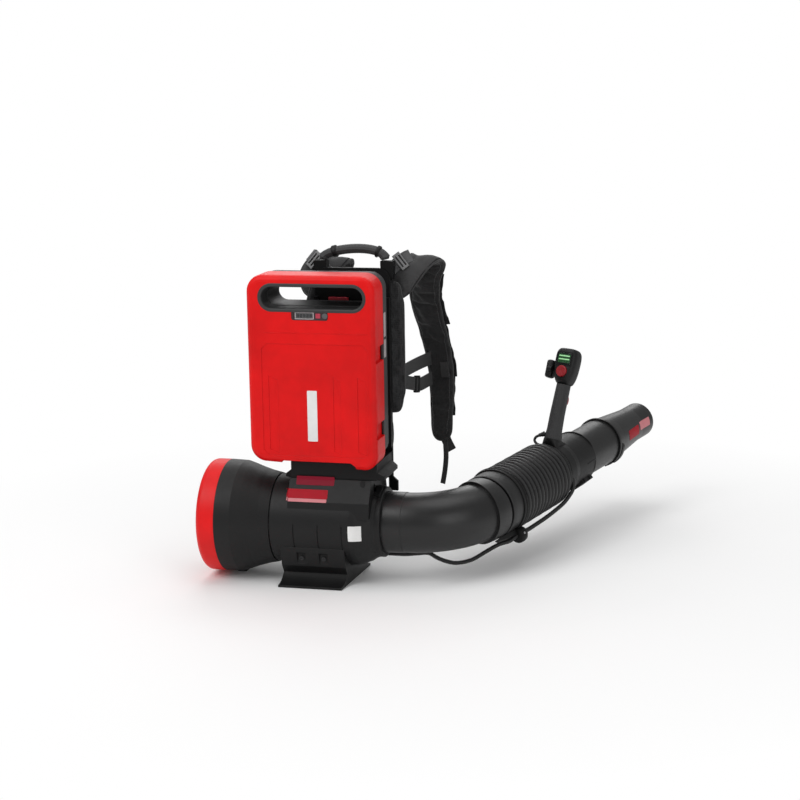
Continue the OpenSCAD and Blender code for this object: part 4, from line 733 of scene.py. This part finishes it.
def cushion(centre, x, y, w, t, square=0.55):
    """A pad's section of half width w and half thickness t."""
    out = []
    for j in range(PAD_POINTS):
        angle = 2 * pi * (j + 0.5) / PAD_POINTS
        c, s = cos(angle), sin(angle)
        out.append(centre + x * (w * copysign(abs(c) ** square, c)) + y * (t * copysign(abs(s) ** 0.8, s)))
    return out


def seam_points(ring):
    """The two points of a section where its seam runs."""
    half = len(ring) // 2
    return [(ring[0] + ring[-1]) / 2, (ring[half - 1] + ring[half]) / 2]


def piped(name, pad, rings, radius):
    """Binding all round a pad's seam, laid on its skin."""
    seams = [seam_points(ring) for ring in rings[1:-1]]
    line = even([a for a, _ in seams] + [b for _, b in seams[::-1]] + [seams[0][0]], 0.004)[:-1]
    line, _ = dropped(line, surface(pad.name), 0.0004)
    for _ in range(3):
        line = [(line[i - 1] + line[i] * 2 + line[(i + 1) % len(line)]) / 4 for i in range(len(line))]
    piece(name, skin(tube_rings(line + [line[0]], radius, 10), False), "chassis", "binding")


def stuffed(name, node, rings, sewn, voxel, most, finish, binding):
    """A pad with its cloth and binding, in place of its plain solid."""
    pad = puffed(name, rings, sewn, voxel, most)
    pad.data.materials.append(FINISH[finish])
    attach(pad, "chassis")
    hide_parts(node)
    piped(name.rsplit("_", 1)[0] + "_piping", pad, rings, binding)
    return pad


# --- back and lumbar pads

HARNESS_X = 43
PAD_STEPS = 3
BACK_CHANNELS, LUMBAR_CHANNELS = (3, 8, 13, 18), (2.5, 5.5)


def handed(points, hand):
    """Points on the right or, with hand -1, their mirror on the left."""
    return [(HARNESS_X + hand * (x - HARNESS_X), y, z) for x, y, z in points]


def pad_rings(z0, z1, y, half_w, half_t, channels, spans, waist, end, swell):
    """Sections of a pad that narrow to its ends and channels, and their sewn points."""
    rings, sewn = [], []
    for i in range(spans * PAD_STEPS + 1):
        q = i / (spans * PAD_STEPS)
        full = min(1, end + swell * min(q, 1 - q))
        pinch = 1 - 0.42 * max(exp(-((i / PAD_STEPS - c) / 0.42) ** 2) for c in channels)
        ring = cushion(P(HARNESS_X, y, z0 + (z1 - z0) * q), X, Y, half_w * (waist + (1 - waist) * full) * MM,
            half_t * full * 0.84 * pinch * MM)
        rings.append(ring)
        if min(abs(i / PAD_STEPS - c) for c in channels) < 0.5 / PAD_STEPS:
            sewn += ring
        sewn += seam_points(ring)
    return rings, sewn


rings, sewn = pad_rings(289, 532, 83.3, 90, 13, BACK_CHANNELS, 22, 0.86, 0.35, 4.2)
stuffed("back_cushion", "back_pad", rings, sewn, 0.0055, 0.009, "mesh", 0.0022)
back_skin = surface("back_cushion")
seams = []
for channel in BACK_CHANNELS:
    line = even(rings[channel * PAD_STEPS][2:20], 0.003)
    seams.append(stitches(*dropped(line, back_skin, 0.0002)))
piece("back_stitches", seams, "chassis", "thread")
rings, sewn = pad_rings(221, 281, 86.3, 66, 16, LUMBAR_CHANNELS, 8, 0.92, 0.4, 2.6)
stuffed("lumbar_cushion", "lumbar_pad", rings, sewn, 0.005, 0.007, "mesh", 0.0022)


# --- shoulder straps

STRAP = [(117, 96.7, 497), (121, 99.6, 515), (131, 105, 535), (145, 114, 554), (160, 127, 565),
    (164, 141, 562), (156, 154, 546), (150, 168, 520), (149, 184, 486), (155, 196, 444), (164, 202, 405),
    (172, 202, 364), (176, 198, 322), (178, 190, 285), (179, 182, 248), (181, 176, 219)]
STRAP_LEFT = [(-34, 96.7, 497), (-40, 99.6, 515), (-40, 106, 535), (-28, 117, 551), (-14, 132, 559),
    (-12, 146, 556), (-20, 162, 542), (-31, 176, 518), (-40, 189, 486), (-54, 197, 444), (-70, 202, 405),
    (-86, 202, 364), (-91, 198, 322), (-93, 190, 285), (-94, 182, 248), (-96, 176, 219)]
STRAP_CHANNELS = (1.0, 3.4, 9.3, 13.6)
STRAP_STEPS, HALF_W, HALF_T = 6, 29, 7.5


def strap_sections(path, lean):
    """A strap's middle line, sections, sewn points, and side and inner directions."""
    points = spline([P(*p) for p in path], STRAP_STEPS)
    along = tangents(points)
    rings, sewn, across, inward = [], [], [], []
    for i, p in enumerate(points):
        q = i / (len(points) - 1)
        full = min(1, 0.45 + 9 * min(q, 1 - q))
        tip = sqrt(max(0.12, 1 - (1 - min(1, 20 * (1 - q))) ** 2)) * min(1, 0.45 + 9 * q)
        width = HALF_W * (1.58 - 0.86 * q) * tip * min(1, 0.42 + 1.6 * q) * MM
        side = squared(X.lerp(Vector(lean).normalized(), min(1, 3.4 * q)).normalized(), along[i])
        inner = along[i].cross(side)
        near = min(abs(i / STRAP_STEPS - c) for c in STRAP_CHANNELS)
        pinch = 1 - 0.35 * exp(-(near / 0.18) ** 2)
        ring = cushion(p, side, inner, width, HALF_T * 0.8 * full * pinch * MM, 0.5)
        rings.append(ring)
        across.append(side)
        inward.append(inner)
        if near < 0.09:
            sewn += ring
        sewn += seam_points(ring)
    return points, rings, sewn, across, inward


STRAPS = {}
for side, path, lean in (("right", STRAP, (0.94, -0.34, 0)), ("left", STRAP_LEFT, (0.94, 0.34, 0))):
    points, rings, sewn, across, inward = strap_sections(path, lean)
    pad = stuffed(f"strap_{side}_pad", f"strap_{side}", rings, sewn, 0.0045, 0.006, "strap", 0.0017)
    STRAPS[side] = (pad, points, rings, across, inward)

COLUMNS = 12


def draped(tree, spine, across, outward, left, right, thick, lift, sag):
    """A sewn-on layer over a pad's face, from left to right of its middle line."""
    rows, spots, far = [], [], 0.0
    for i, (p, side, out) in enumerate(zip(spine, across, outward)):
        offsets = [left[i] + (right[i] - left[i]) * j / COLUMNS for j in range(COLUMNS + 1)]
        depth, middle = {}, None
        for j in sorted(range(COLUMNS + 1), key=lambda j: abs(offsets[j])):
            flat = p + side * offsets[j]
            hit = tree.ray_cast(flat + out * 0.03, -out, 0.05)[0]
            here = (hit - flat).dot(out) if hit is not None else -1
            middle = here if middle is None else middle
            depth[j] = max(here, middle - sag)
        rows.append([p + side * offset + out * (depth[j] + lift) for j, offset in enumerate(offsets)])
        far += (rows[i][0] - rows[i - 1][0]).length if i else 0
        spots += [(offset, far) for offset in offsets]
    verts = [q + out * thick for row, out in zip(rows, outward) for q in row]
    verts += [q for row in rows for q in row]
    cells = {(j, i) for i in range(len(rows) - 1) for j in range(COLUMNS)}
    faces = slab_faces(COLUMNS + 1, cells, len(spots))
    spots += spots
    return verts, faces, [spots[v] for face in faces for v in face]


# Layers: start and end on the path, and how far the lower corner stands out
FLAPS = ((6.2, 9.35, 8.0), (9.2, 11.75, 3.5), (11.6, 13.55, 3.0))
YOKE, PATCH = (1 / 3, 4.5), (10.95, 11.65)
PATCH_MIDDLE, PATCH_HALF, EDGE_INSET = 0.012, 0.008, 0.0055


def dress_strap(name, hand, pad, points, rings, across, inward):
    """Layers and yoke cover outside, a patch inside, and stitched edges."""
    tree = surface(pad.name)
    half = [(ring[0] - ring[PAD_POINTS // 2]).length / 2 for ring in rings]

    def sections(start, end):
        return range(round(start * STRAP_STEPS), round(end * STRAP_STEPS) + 1)

    def layer(span, left, right, face, thick, lift, sag):
        return draped(tree, [points[i] for i in span], [across[i] for i in span],
            [inward[i] * face for i in span], left, right, thick, lift, sag)

    layers = []
    for number, (start, end, proud) in enumerate(FLAPS):
        span = sections(start, end)
        reach = [half[i] + proud * MM * ((i - span[0]) / (len(span) - 1)) ** 1.6 for i in span]
        inner = [-0.86 * half[i] for i in span]
        left, right = (inner, reach) if hand > 0 else ([-v for v in reach], [-v for v in inner])
        layers.append(layer(span, left, right, -1, 0.0012, 0.0006 + 0.0007 * (len(FLAPS) - number), 0.003))
    piece(f"{name}_layers", layers, "chassis", "flap")
    span = sections(*YOKE)
    reach = [0.93 * half[i] for i in span]
    cover = layer(span, [-v for v in reach], reach, -1, 0.0012, 0.0004, 0.006)
    piece(f"{name}_yoke", cover, "chassis", "yoke")
    span = sections(*PATCH)
    edges = [[PATCH_MIDDLE * hand + edge * PATCH_HALF] * len(span) for edge in (-1, 1)]
    patch = layer(span, *edges, 1, 0.0022, 0.0002, 0.003)
    piece(f"{name}_patch", patch, "chassis", "webbing")
    seams = []
    for edge in (-1, 1):
        line = [points[i] + across[i] * (edge * (half[i] - EDGE_INSET)) + inward[i] * 0.012
            for i in range(4, len(points) - 3)]
        seams.append(stitches(*dropped(line, tree)))
    piece(f"{name}_stitches", seams, "chassis", "thread")


dress_strap("strap_right", 1, *STRAPS["right"])
dress_strap("strap_left", -1, *STRAPS["left"])

# --- webbing

WEB_QUARTER = [(-0.5, 0), (-0.492, 0.40), (-0.465, 0.56), (-0.425, 0.56), (-0.39, 0.44), (-0.2, 0.47),
    (0, 0.48)]
WEB_UPPER = WEB_QUARTER + [(-u, v) for u, v in WEB_QUARTER[-2:0:-1]]
WEB_SECTION = WEB_UPPER + [(-u, -v) for u, v in WEB_UPPER]
ANCHOR_WEB = [(95, 94.4, 541.7), (110, 101.2, 553.5), (125.6, 108, 565.6), (132, 111, 570.4),
    (139.5, 117.5, 573.5)]
ANCHOR_LEFT = [(-9, 94.4, 541.7), (-24, 101.2, 553.5), (-39.6, 108, 565.6), (-46, 111, 570.4),
    (-50, 120, 572), (-47, 130, 570)]
V_UPPER = [(123, 93.1, 361), (133, 130, 365.5), (143.5, 166, 369), (154.3, 202.2, 371.1)]
V_LOWER = [(123, 95.6, 345), (132, 120, 338.5), (141, 144, 332), (146, 158, 330), (157, 198.6, 334)]
TAIL = [(187.1, 175.8, 221.4), (187.6, 173.2, 212), (189, 170, 190), (187, 168, 165), (183, 166, 140)]
END_FLAP = [(186, 178, 228), (189, 176.5, 220), (194, 175, 211), (199, 173, 202.5)]
ANCHOR_ACROSS, ANCHOR_LEFT_ACROSS, V_ACROSS = (0.637, -0.09, -0.765), (-0.637, -0.09, -0.765), (0, 0.1, 1)


def web(points, across, width, thick=2.4, curl=0.0):
    """A flat web with selvedges along a line in millimetres."""
    line = even(spline([P(*p) for p in points], 6), 0.003)
    rings = []
    for p, along in zip(line, tangents(line)):
        side = squared(Vector(across), along)
        face = along.cross(side)
        rings.append([p + side * (u * width * MM) + face * ((v * thick + curl * (4 * u * u - 0.5)) * MM)
            for u, v in WEB_SECTION])
    return skin(rings)


straps = []
for hand in (1, -1):
    straps += [web(handed(V_UPPER, hand), V_ACROSS, 25), web(handed(V_LOWER, hand), V_ACROSS, 25),
        web(handed(TAIL, hand), (hand, -0.3, 0), 10, 2.0, curl=0.4),
        web(handed(END_FLAP, hand), (hand, 0, 0.25), 19, 2.2)]
webs = piece("harness_webbing", straps, "chassis", "webbing")
anchors = [web(ANCHOR_WEB, ANCHOR_ACROSS, 24), web(ANCHOR_LEFT, ANCHOR_LEFT_ACROSS, 24)]
piece("anchor_webs", anchors, "chassis", "anchor")
sliders = []
for hand in (1, -1):
    a, b = (P(*p) for p in handed(V_LOWER, hand)[2:4])
    along = (b - a).normalized()
    side = squared(Vector(V_ACROSS), along)
    flat = along.cross(side)
    for shift in (-0.0052, 0.0052):
        sliders.append(box_piece(a + along * shift, along, side, flat, (0.0034, 0.031, 0.0068), 0.0012))
    for shift in (-0.0143, 0.0143):
        sliders.append(box_piece(a + side * shift, along, side, flat, (0.0138, 0.0030, 0.0066), 0.0012))
piece("web_sliders", sliders, "chassis", "black")
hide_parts("strap_webbing")

# --- hose, as (distance along it, radius)

HOSE_POINTS, RIB_POINTS = 96, 14
CUFF_R, FRONT_R, FIT = 59.8, 54, 0.15
REAR_WALL = [(HOSE_START, DUCT_R + FIT), (HOSE_START, CUFF_R - 1.2), (HOSE_START + 0.5, CUFF_R - 0.4)]
REAR_WALL += [(HOSE_START + 1.5, CUFF_R)] + [(along, CUFF_R) for along in (20, 34, 42, 48, 51)]
REAR_WALL += [(52.6, CUFF_R - 0.3), (53.4, CUFF_R - 1.4)]
FRONT_WALL = [(RIB_X1, 57), (RIB_X1 + 1.2, FRONT_R + 0.6), (RIB_X1 + 2.4, FRONT_R), (RIB_X1 + 6, FRONT_R),
    (HOSE_END - 0.6, FRONT_R), (HOSE_END, FRONT_R - 0.6)]
INSIDE = [(HOSE_END, TUBE_R + FIT), (RIB_X1 - 1, TUBE_R + FIT), (RIB_X1 - 4, 52.5)]
INSIDE += [(RIB_X1 - 12 - i * 12, 54.5) for i in range(12)]
INSIDE += [(along, DUCT_R + FIT) for along in (RIB_X0 - 8, 30, 16)]


def rib_wall():
    """The ribs as (distance, radius), each a little fuller or leaner than the next."""
    low = HOSE_R - RIB_DEPTH
    out = []
    for number in range(RIB_COUNT):
        top = HOSE_R + 0.22 * sin(2.3 * number + 0.6)
        for j in range(RIB_POINTS):
            q = j / RIB_POINTS
            wave = cos(2 * pi * (q - 0.58))
            height = 0.5 + 0.5 * max(-1, min(1, 1.55 * wave + 0.12 * wave ** 3))
            out.append((RIB_X0 + RIB_PITCH * number + RIB_PITCH * q, low + (top - low) * height))
    return out


outer_wall = REAR_WALL + rib_wall()
wall = outer_wall + FRONT_WALL + INSIDE
# Outer faces of the ribs below this radius take the darker deep finish: painted shade in the hose's grooves.
GROOVE_SHADE_R = HOSE_R - 0.6 * RIB_DEPTH
verts, faces, _ = looped([[tube_point(along, radius, 360 * j / HOSE_POINTS) for j in range(HOSE_POINTS)]
    for along, radius in wall])
groove_shaded = [int(i < len(outer_wall) and max(wall[i][1], wall[i + 1][1]) < GROOVE_SHADE_R)
    for i in range(len(wall) - 1)]
hose = build("ribbed_hose", verts, faces, None, ["hose", "deep"], 60,
    slots=[groove for groove in groove_shaded + [0] for _ in range(HOSE_POINTS)])
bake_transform(hose)
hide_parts("hose_bellows")

# --- cables

CABLE_A = [(108, 24, 40), (124, 24, 40), (146, 22, 41), (168, 20, 44), (188, 22, 45), (202, 27, 36),
    (219, 33, 28), (237, 41, 24), (261, 53, 28), (286, 71, 41), (305, 86, 50), (320.7, 97.2, 53.2),
    (328.2, 104.7, 57.5), (333.0, 112.2, 60.3), (336.2, 120.2, 61.3)]
CABLE_B = [(336.5, 121.1, 61.4), (342, 132, 63), (350, 151, 65), (358, 170, 68), (372, 201, 74),
    (386, 231, 82), (397, 253, 90), (405, 267, 100), (411, 275, 111), (412, 280, 123), (410, 282, 134)]
LEAD_X, LEAD_RING = SLEEVE_X - LEAD_R - 0.3, 49.8
LEAD_TURN = [radians(angle) for angle in range(4, 101, 12)]
CABLE_C = [(LEAD_X, -LEAD_RING * cos(angle), LEAD_RING * sin(angle)) for angle in LEAD_TURN]
CABLE_C += [(LEAD_X - 1, 17, 52), (LEAD_X, 25, 54), (LEAD_X + 2, 30, 59), (LEAD_X + 5, 28, 65),
    (LEAD_X + 9, 20.9, 68.9), (LEAD_X + 12.5, 16, 70.6), (LEAD_X + 16, 11, 71.6)]
CORRUGATION = 0.0026


def conduit(name, node, points, r, pitch=0.0):
    """A control cable, smooth or corrugated, along a line, in place of its plain part."""
    line = even(spline(points, 6), pitch / 4 if pitch else 0.003)
    radii = r * MM
    if pitch:
        radii = [r * MM * (1 if k % 4 in (1, 2) else 0.86) for k in range(len(line))]
    verts, faces, uv = skin(tube_rings(line, radii, 14 if pitch else 12))
    cable = build(name, verts, faces, None, "cable", 50, uv)
    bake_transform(cable)
    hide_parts(node)


conduit("cable_run_elbow", "cable_elbow", [P(*p) for p in CABLE_A], CABLE_R,
    CORRUGATION)
conduit("cable_run_hose", "cable_hose", [P(*p) for p in CABLE_B], CABLE_R,
    CORRUGATION)
lead = [tube_xyz(*p) for p in CABLE_C]
conduit("cable_run_grip", "cable_grip", lead, LEAD_R)

# --- carry handle, slot and latch

CARRY_X, CARRY_Y, CARRY_Z, CARRY_SPAN, CARRY_RISE, CARRY_SKEW = 44, 78, 570.4, 58, 19, 9
COLLAR_PLACES = (46, 134)
COLLAR = ((-5, 9.4), (-4.4, 10.4), (-3, 11), (-1, 11), (1, 11), (3, 11), (4.4, 10.4), (5, 9.4))


def carry_point(degrees):
    """A point of the carry handle's middle line: 180 is its left end, 0 its right."""
    angle = radians(degrees)
    return P(CARRY_X + CARRY_SPAN * cos(angle) + CARRY_SKEW * sin(angle) ** 2, CARRY_Y,
        CARRY_Z + CARRY_RISE * sin(angle))


collar_r = [r * MM for _, r in COLLAR]
collars = [skin(tube_rings([carry_point(place + turn) for turn, _ in COLLAR], collar_r, 28, Y))
    for place in COLLAR_PLACES]
piece("carry_collars", collars, "chassis", "black")

SLOT_X, SLOT_Z, SLOT_HALF, SLOT_R, LIP = 4, 518, 94, 21, 4
LINER = [(-5, 0.2), (-64.8, 0.2), (-64.8, -LIP), (-65.2, -LIP - 0.2), (-65.7, -LIP + 0.3),
    (-66.0, -LIP + 1.4), (-66.0, -1.0), (-65.6, 0.8), (-64.4, 2.0), (-62.5, 2.5), (-5, 2.5)]


def slot_loop(y, inset):
    """The battery slot's outline at a depth y, drawn in by inset."""
    radius = SLOT_R - inset
    out = []
    for side in (1, -1):
        for j in range(25):
            angle = radians(-90 * side + 180 * j / 24)
            out.append(P(SLOT_X + side * (SLOT_HALF - SLOT_R) + radius * cos(angle), y,
                SLOT_Z + radius * sin(angle)))
    return out


# The liner's dark finish is painted shade inside the slot.
piece("slot_liner", looped([slot_loop(y, inset) for y, inset in LINER]), "battery", "liner")
# The tab's brighter red is painted highlight.
piece("latch_tab", box_piece(P(20, 49.2, 499.4), X, Y, Z, (0.035, 0.0034, 0.0105), 0.0012), "latch", "tab")

# --- plates and marks on the battery, fan and nozzle

def lay(body, tree, marks):
    """Lays marks: name, place, size, thickness, finish and, where they differ, corner, step, rim."""
    for name, at, *more in marks:
        laid(name, body, tree, at, X, Z, *more)


CHARGE_CELLS, CHARGE_X, CHARGE_PITCH, CHARGE_Z = 5, -21, 5.8, 487
SIDE_STRIPS = ((404, 436), (441, 484))
marks = [("cover_crease", P(10, -60, 456), 0.188, 0.0016, 0.0003, "red", 0.0006),
    ("battery_bar", P(1, -60, 308.5), 0.018, 0.091, 0.0002, "label", 0.0008),
    ("charge_window_rim", P(-9.3, -60, CHARGE_Z), 0.0345, 0.0125, 0.0006, "pale", 0.001, 0.0025, 0.0014),
    ("charge_window", P(-9.3, -60, CHARGE_Z), 0.031, 0.0095, 0.0002, "mid_grey", 0.0006)]
for i in range(CHARGE_CELLS):
    at = P(CHARGE_X + CHARGE_PITCH * i, -60, CHARGE_Z)
    marks.append((f"charge_cell_{i}", at, 0.0044, 0.006, 0.0006, "glass", 0.0004, 0.0015))
marks.append(("charge_warning", P(15.5, -60, CHARGE_Z), 0.0085, 0.0085, 0.0004, "lamp_red", 0.0008))
lay("battery", surface("battery_cover", "charge_panel"), marks)
shells = surface("battery_cover", "battery_shell")
# Pale strips laid on the battery's right side, from their low to their high height in mm.
for i, (low, high) in enumerate(SIDE_STRIPS):
    laid(f"pale_side_strip_{i}", "battery", shells, P(116, 12, (low + high) / 2), Y, Z, 0.014, (high - low) * MM,
        0.0006, "pale", 0.001, 0.0013)

drum = surface("fan_housing", "base_foot")
lay("chassis", drum, [("saddle_plate", P(0, -40, 189), 0.070, 0.015, 0.0004, "label_wine"),
    ("drum_plate", P(-14, -72, 167), 0.078, 0.015, 0.0004, "label_red", 0.0012),
    ("drum_stripe", P(-14, -76, 156.5), 0.076, 0.0055, 0.0004, "label_pink", 0.0006)])
# A thin dark plate where the lug's hole is: painted shade of the hole.
laid("lug_hole_shade", "chassis", drum, P(87, -45, 175), X, (0, 0.84, 0.55), 0.0095, 0.012, 0.0003, "deep",
    0.0047, 0.001)
lay("chassis", drum, [("drum_square", P(76.5, -76, 101), 0.023, 0.028, 0.0003, "label", 0.0006)])

pipe = surface("nozzle")
for name, along, degrees, w, h, finish in (("nozzle_plate", 512, 6, 0.050, 0.020, "label_red"),
        ("nozzle_tag", 566, 12, 0.044, 0.017, "label_pink")):
    at, out = tube_point(along, NOZZLE_R, degrees), tube_out(degrees)
    laid(name, "nozzle_body", pipe, at, TUBE_T, out.cross(TUBE_T), w, h, 0.0004, finish, 0.001)

# --- control head

# Height above the grip, half width, front and rear of the head's sections
HEAD_SECTIONS = [(0.6, 12.5, -10, 15.5), (3, 14.5, -13, 18), (8, 17, -16.4, 19.3), (15, 19.4, -18.4, 19.9),
    (24, 21.2, -19.3, 20), (34, 22.3, -19.5, 20), (44, 22.8, -19.5, 20), (53, 22.7, -19.5, 20),
    (60, 21.8, -19.4, 19.4), (65, 19.8, -18.0, 17.6), (68.2, 17, -15.6, 15), (69.6, 13.5, -12.4, 12)]
HEAD_CORNER, HEAD_POINTS = 3.4, 56
FACE_X, FACE = -HEAD_D / 2, (-TUBE_L, GRIP_D)
HEAD_AXES = (GRIP_E, TUBE_L, GRIP_D)
DISPLAY_Z, SCREEN_Z, BUTTON_Z = GRIP_LEN + HEAD_H - 21.5, GRIP_LEN + 48.5, GRIP_LEN + 24
BUTTON_R, BUTTON_GAP, BORE_DEPTH = 11, 0.4, 13
LEVER_X, LEVER_Z = 2, GRIP_LEN + 30
BOOT = [(-3, 2.4), (-3, 3.2), (-2, 3.5), (1, 3.9), (1.4, 3.4), (2, 3.4), (2.4, 4.2), (5, 4.8), (5.4, 4.2),
    (6, 4.2), (6.4, 5.2), (9.5, 5.6), (9.5, 2.4)]


def head_ring(z, half, front, rear):
    """A rounded square section of the head."""
    out = []
    for j in range(HEAD_POINTS):
        angle = 2 * pi * (j + 0.5) / HEAD_POINTS
        c, s = (copysign(abs(v) ** (2 / HEAD_CORNER), v) for v in (cos(angle), sin(angle)))
        out.append(grip_xyz((front + rear) / 2 + (rear - front) / 2 * c, half * s, GRIP_LEN + z))
    return out


def carved(obj, cutters):
    """Cuts closed forms out of a piece and removes them."""
    for cutter in cutters:
        cut = obj.modifiers.new("cut", "BOOLEAN")
        cut.operation, cut.solver, cut.object = "DIFFERENCE", "EXACT", cutter
    mesh = applied(obj)
    obj.modifiers.clear()
    obj.data = mesh
    mesh.shade_smooth()
    mesh.set_sharp_from_angle(angle=radians(35))
    for cutter in cutters:
        bpy.data.objects.remove(cutter)


# Rounded shell, open for its display and its button, in place of the plainer solid
rings = [head_ring(*section) for section in spline(HEAD_SECTIONS, 3)]
shell = piece("head_shell", skin(rings), "handle", "black", 35)
window = box_piece(grip_xyz(FACE_X, 0, DISPLAY_Z), *HEAD_AXES, (0.006, 0.030, 0.023), 0.0002)
window = piece("window_cut", window, None, "black")
boot_at, boot_in = tube_xyz(*CABLE_C[-3]), tube_xyz(*CABLE_C[-1])
piece("lead_boot", turned(boot_at, boot_in - boot_at, BOOT, 24), "handle", "cable")
bore_r = BUTTON_R + BUTTON_GAP
bore = turned(grip_xyz(FACE_X - 4, 0, BUTTON_Z), GRIP_E, [(0, bore_r), (BORE_DEPTH, bore_r)], 48)
bore = piece("bore_cut", bore, None, "black")
carved(shell, [window, bore])
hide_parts("control_head")
lever_at = grip_xyz(LEVER_X - 6, HEAD_W / 2 + 8.6, LEVER_Z - 3.5)
lever = box_piece(lever_at, *HEAD_AXES, (0.021, 0.0145, 0.035), 0.0045)
piece("lever_pad", lever, "cruise", "black", 50)
laid("display_bezel", "handle", surface("head_shell"), grip_xyz(FACE_X, 0, DISPLAY_Z), *FACE, 0.0345, 0.0275,
    0.0009, "deep", 0.004, 0.0016, 0.0022)
glass = surface("head_display")
screen = grip_xyz(FACE_X, -1, SCREEN_Z)
laid("display_field", "handle", glass, screen, *FACE, 0.026, 0.017, 0.0002, "green_dim", 0.0012)
for i, rise in enumerate((5, -1.5)):
    at = grip_xyz(FACE_X, -1, SCREEN_Z + rise)
    laid(f"display_bar_{i}", "handle", glass, at, *FACE, 0.023, 0.0022, 0.0004, "green", 0.0008, 0.0015)

# --- lips, lugs and knob of the tube


def arc_band(s0, s1, r0, r1, a0, a1, edge=0.9):
    """A raised band on the tube from s0 to s1 and angle a0 to a1."""
    rings = []
    count = max(6, round(abs(a1 - a0) / 4))
    for i in range(count + 1):
        q = i / count
        top = r0 + (r1 - r0) * min(1, 0.15 + 9 * min(q, 1 - q))
        low, bevel = max(r0, top - edge), top - edge * 0.3
        section = [(s0, r0), (s0, low), (s0 + edge * 0.3, bevel), (s0 + edge, top),
            (s1 - edge, top), (s1 - edge * 0.3, bevel), (s1, low), (s1, r0)]
        rings.append([tube_point(along, radius, a0 + (a1 - a0) * q) for along, radius in section])
    return skin(rings)


piece("sleeve_lip", [arc_band(SLEEVE_END - 3.4, SLEEVE_END - 0.2, 49.6, 52.0, 30, 152),
    arc_band(SLEEVE_END - 34, SLEEVE_END - 3, 49.9, 50.7, 3, 5.5, 0.4),
    arc_band(SLEEVE_END - 6, SLEEVE_END - 4.4, 49.9, 50.7, -24, 5, 0.4)],
    "handle", "black")
lug = arc_band(MID_END + 1.5, MID_END + 12, 45, 51, -62, 2, 1.6)
piece("joint_lug", lug, "nozzle_body", "tube")

BAND_S, BAND_W, BAND_H = 47.5, 9.5, 4.2
KNOB_AT, KNOB_R = P(336.3, 120.7, 61.3), 15.4
KNOB = [(-11, 5.5), (-11, 10.6), (-9.6, 13.4), (-6.5, 14.9), (0, KNOB_R), (5.8, 14.7), (9.0, 12.8),
    (10.4, 9.5), (10.4, 5.5)]
RIVET = [(-1, 2.4), (0.6, 2.4), (1.2, 1.9), (1.5, 1.0), (1.55, 0.3)]
arch = [radians(angle) for angle in range(0, 181, 20)]
section = [(BAND_S + BAND_W / 2 * cos(a), CUFF_R + 0.1 + BAND_H * sin(a)) for a in arch]
piece("cuff_ring", looped([[tube_point(along, radius, 360 * j / HOSE_POINTS) for along, radius in section]
    for j in range(HOSE_POINTS)]), "elbow", "deep")
toward = squared(back, TUBE_T)
piece("cable_knob", turned(KNOB_AT, TUBE_T, KNOB), "elbow", "deep")
rivet_at = KNOB_AT + (toward * (KNOB_R - 0.7) - TUBE_T * 3.5) * MM
piece("knob_rivet", turned(rivet_at, toward, RIVET, 16), "elbow", "steel")

low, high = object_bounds()
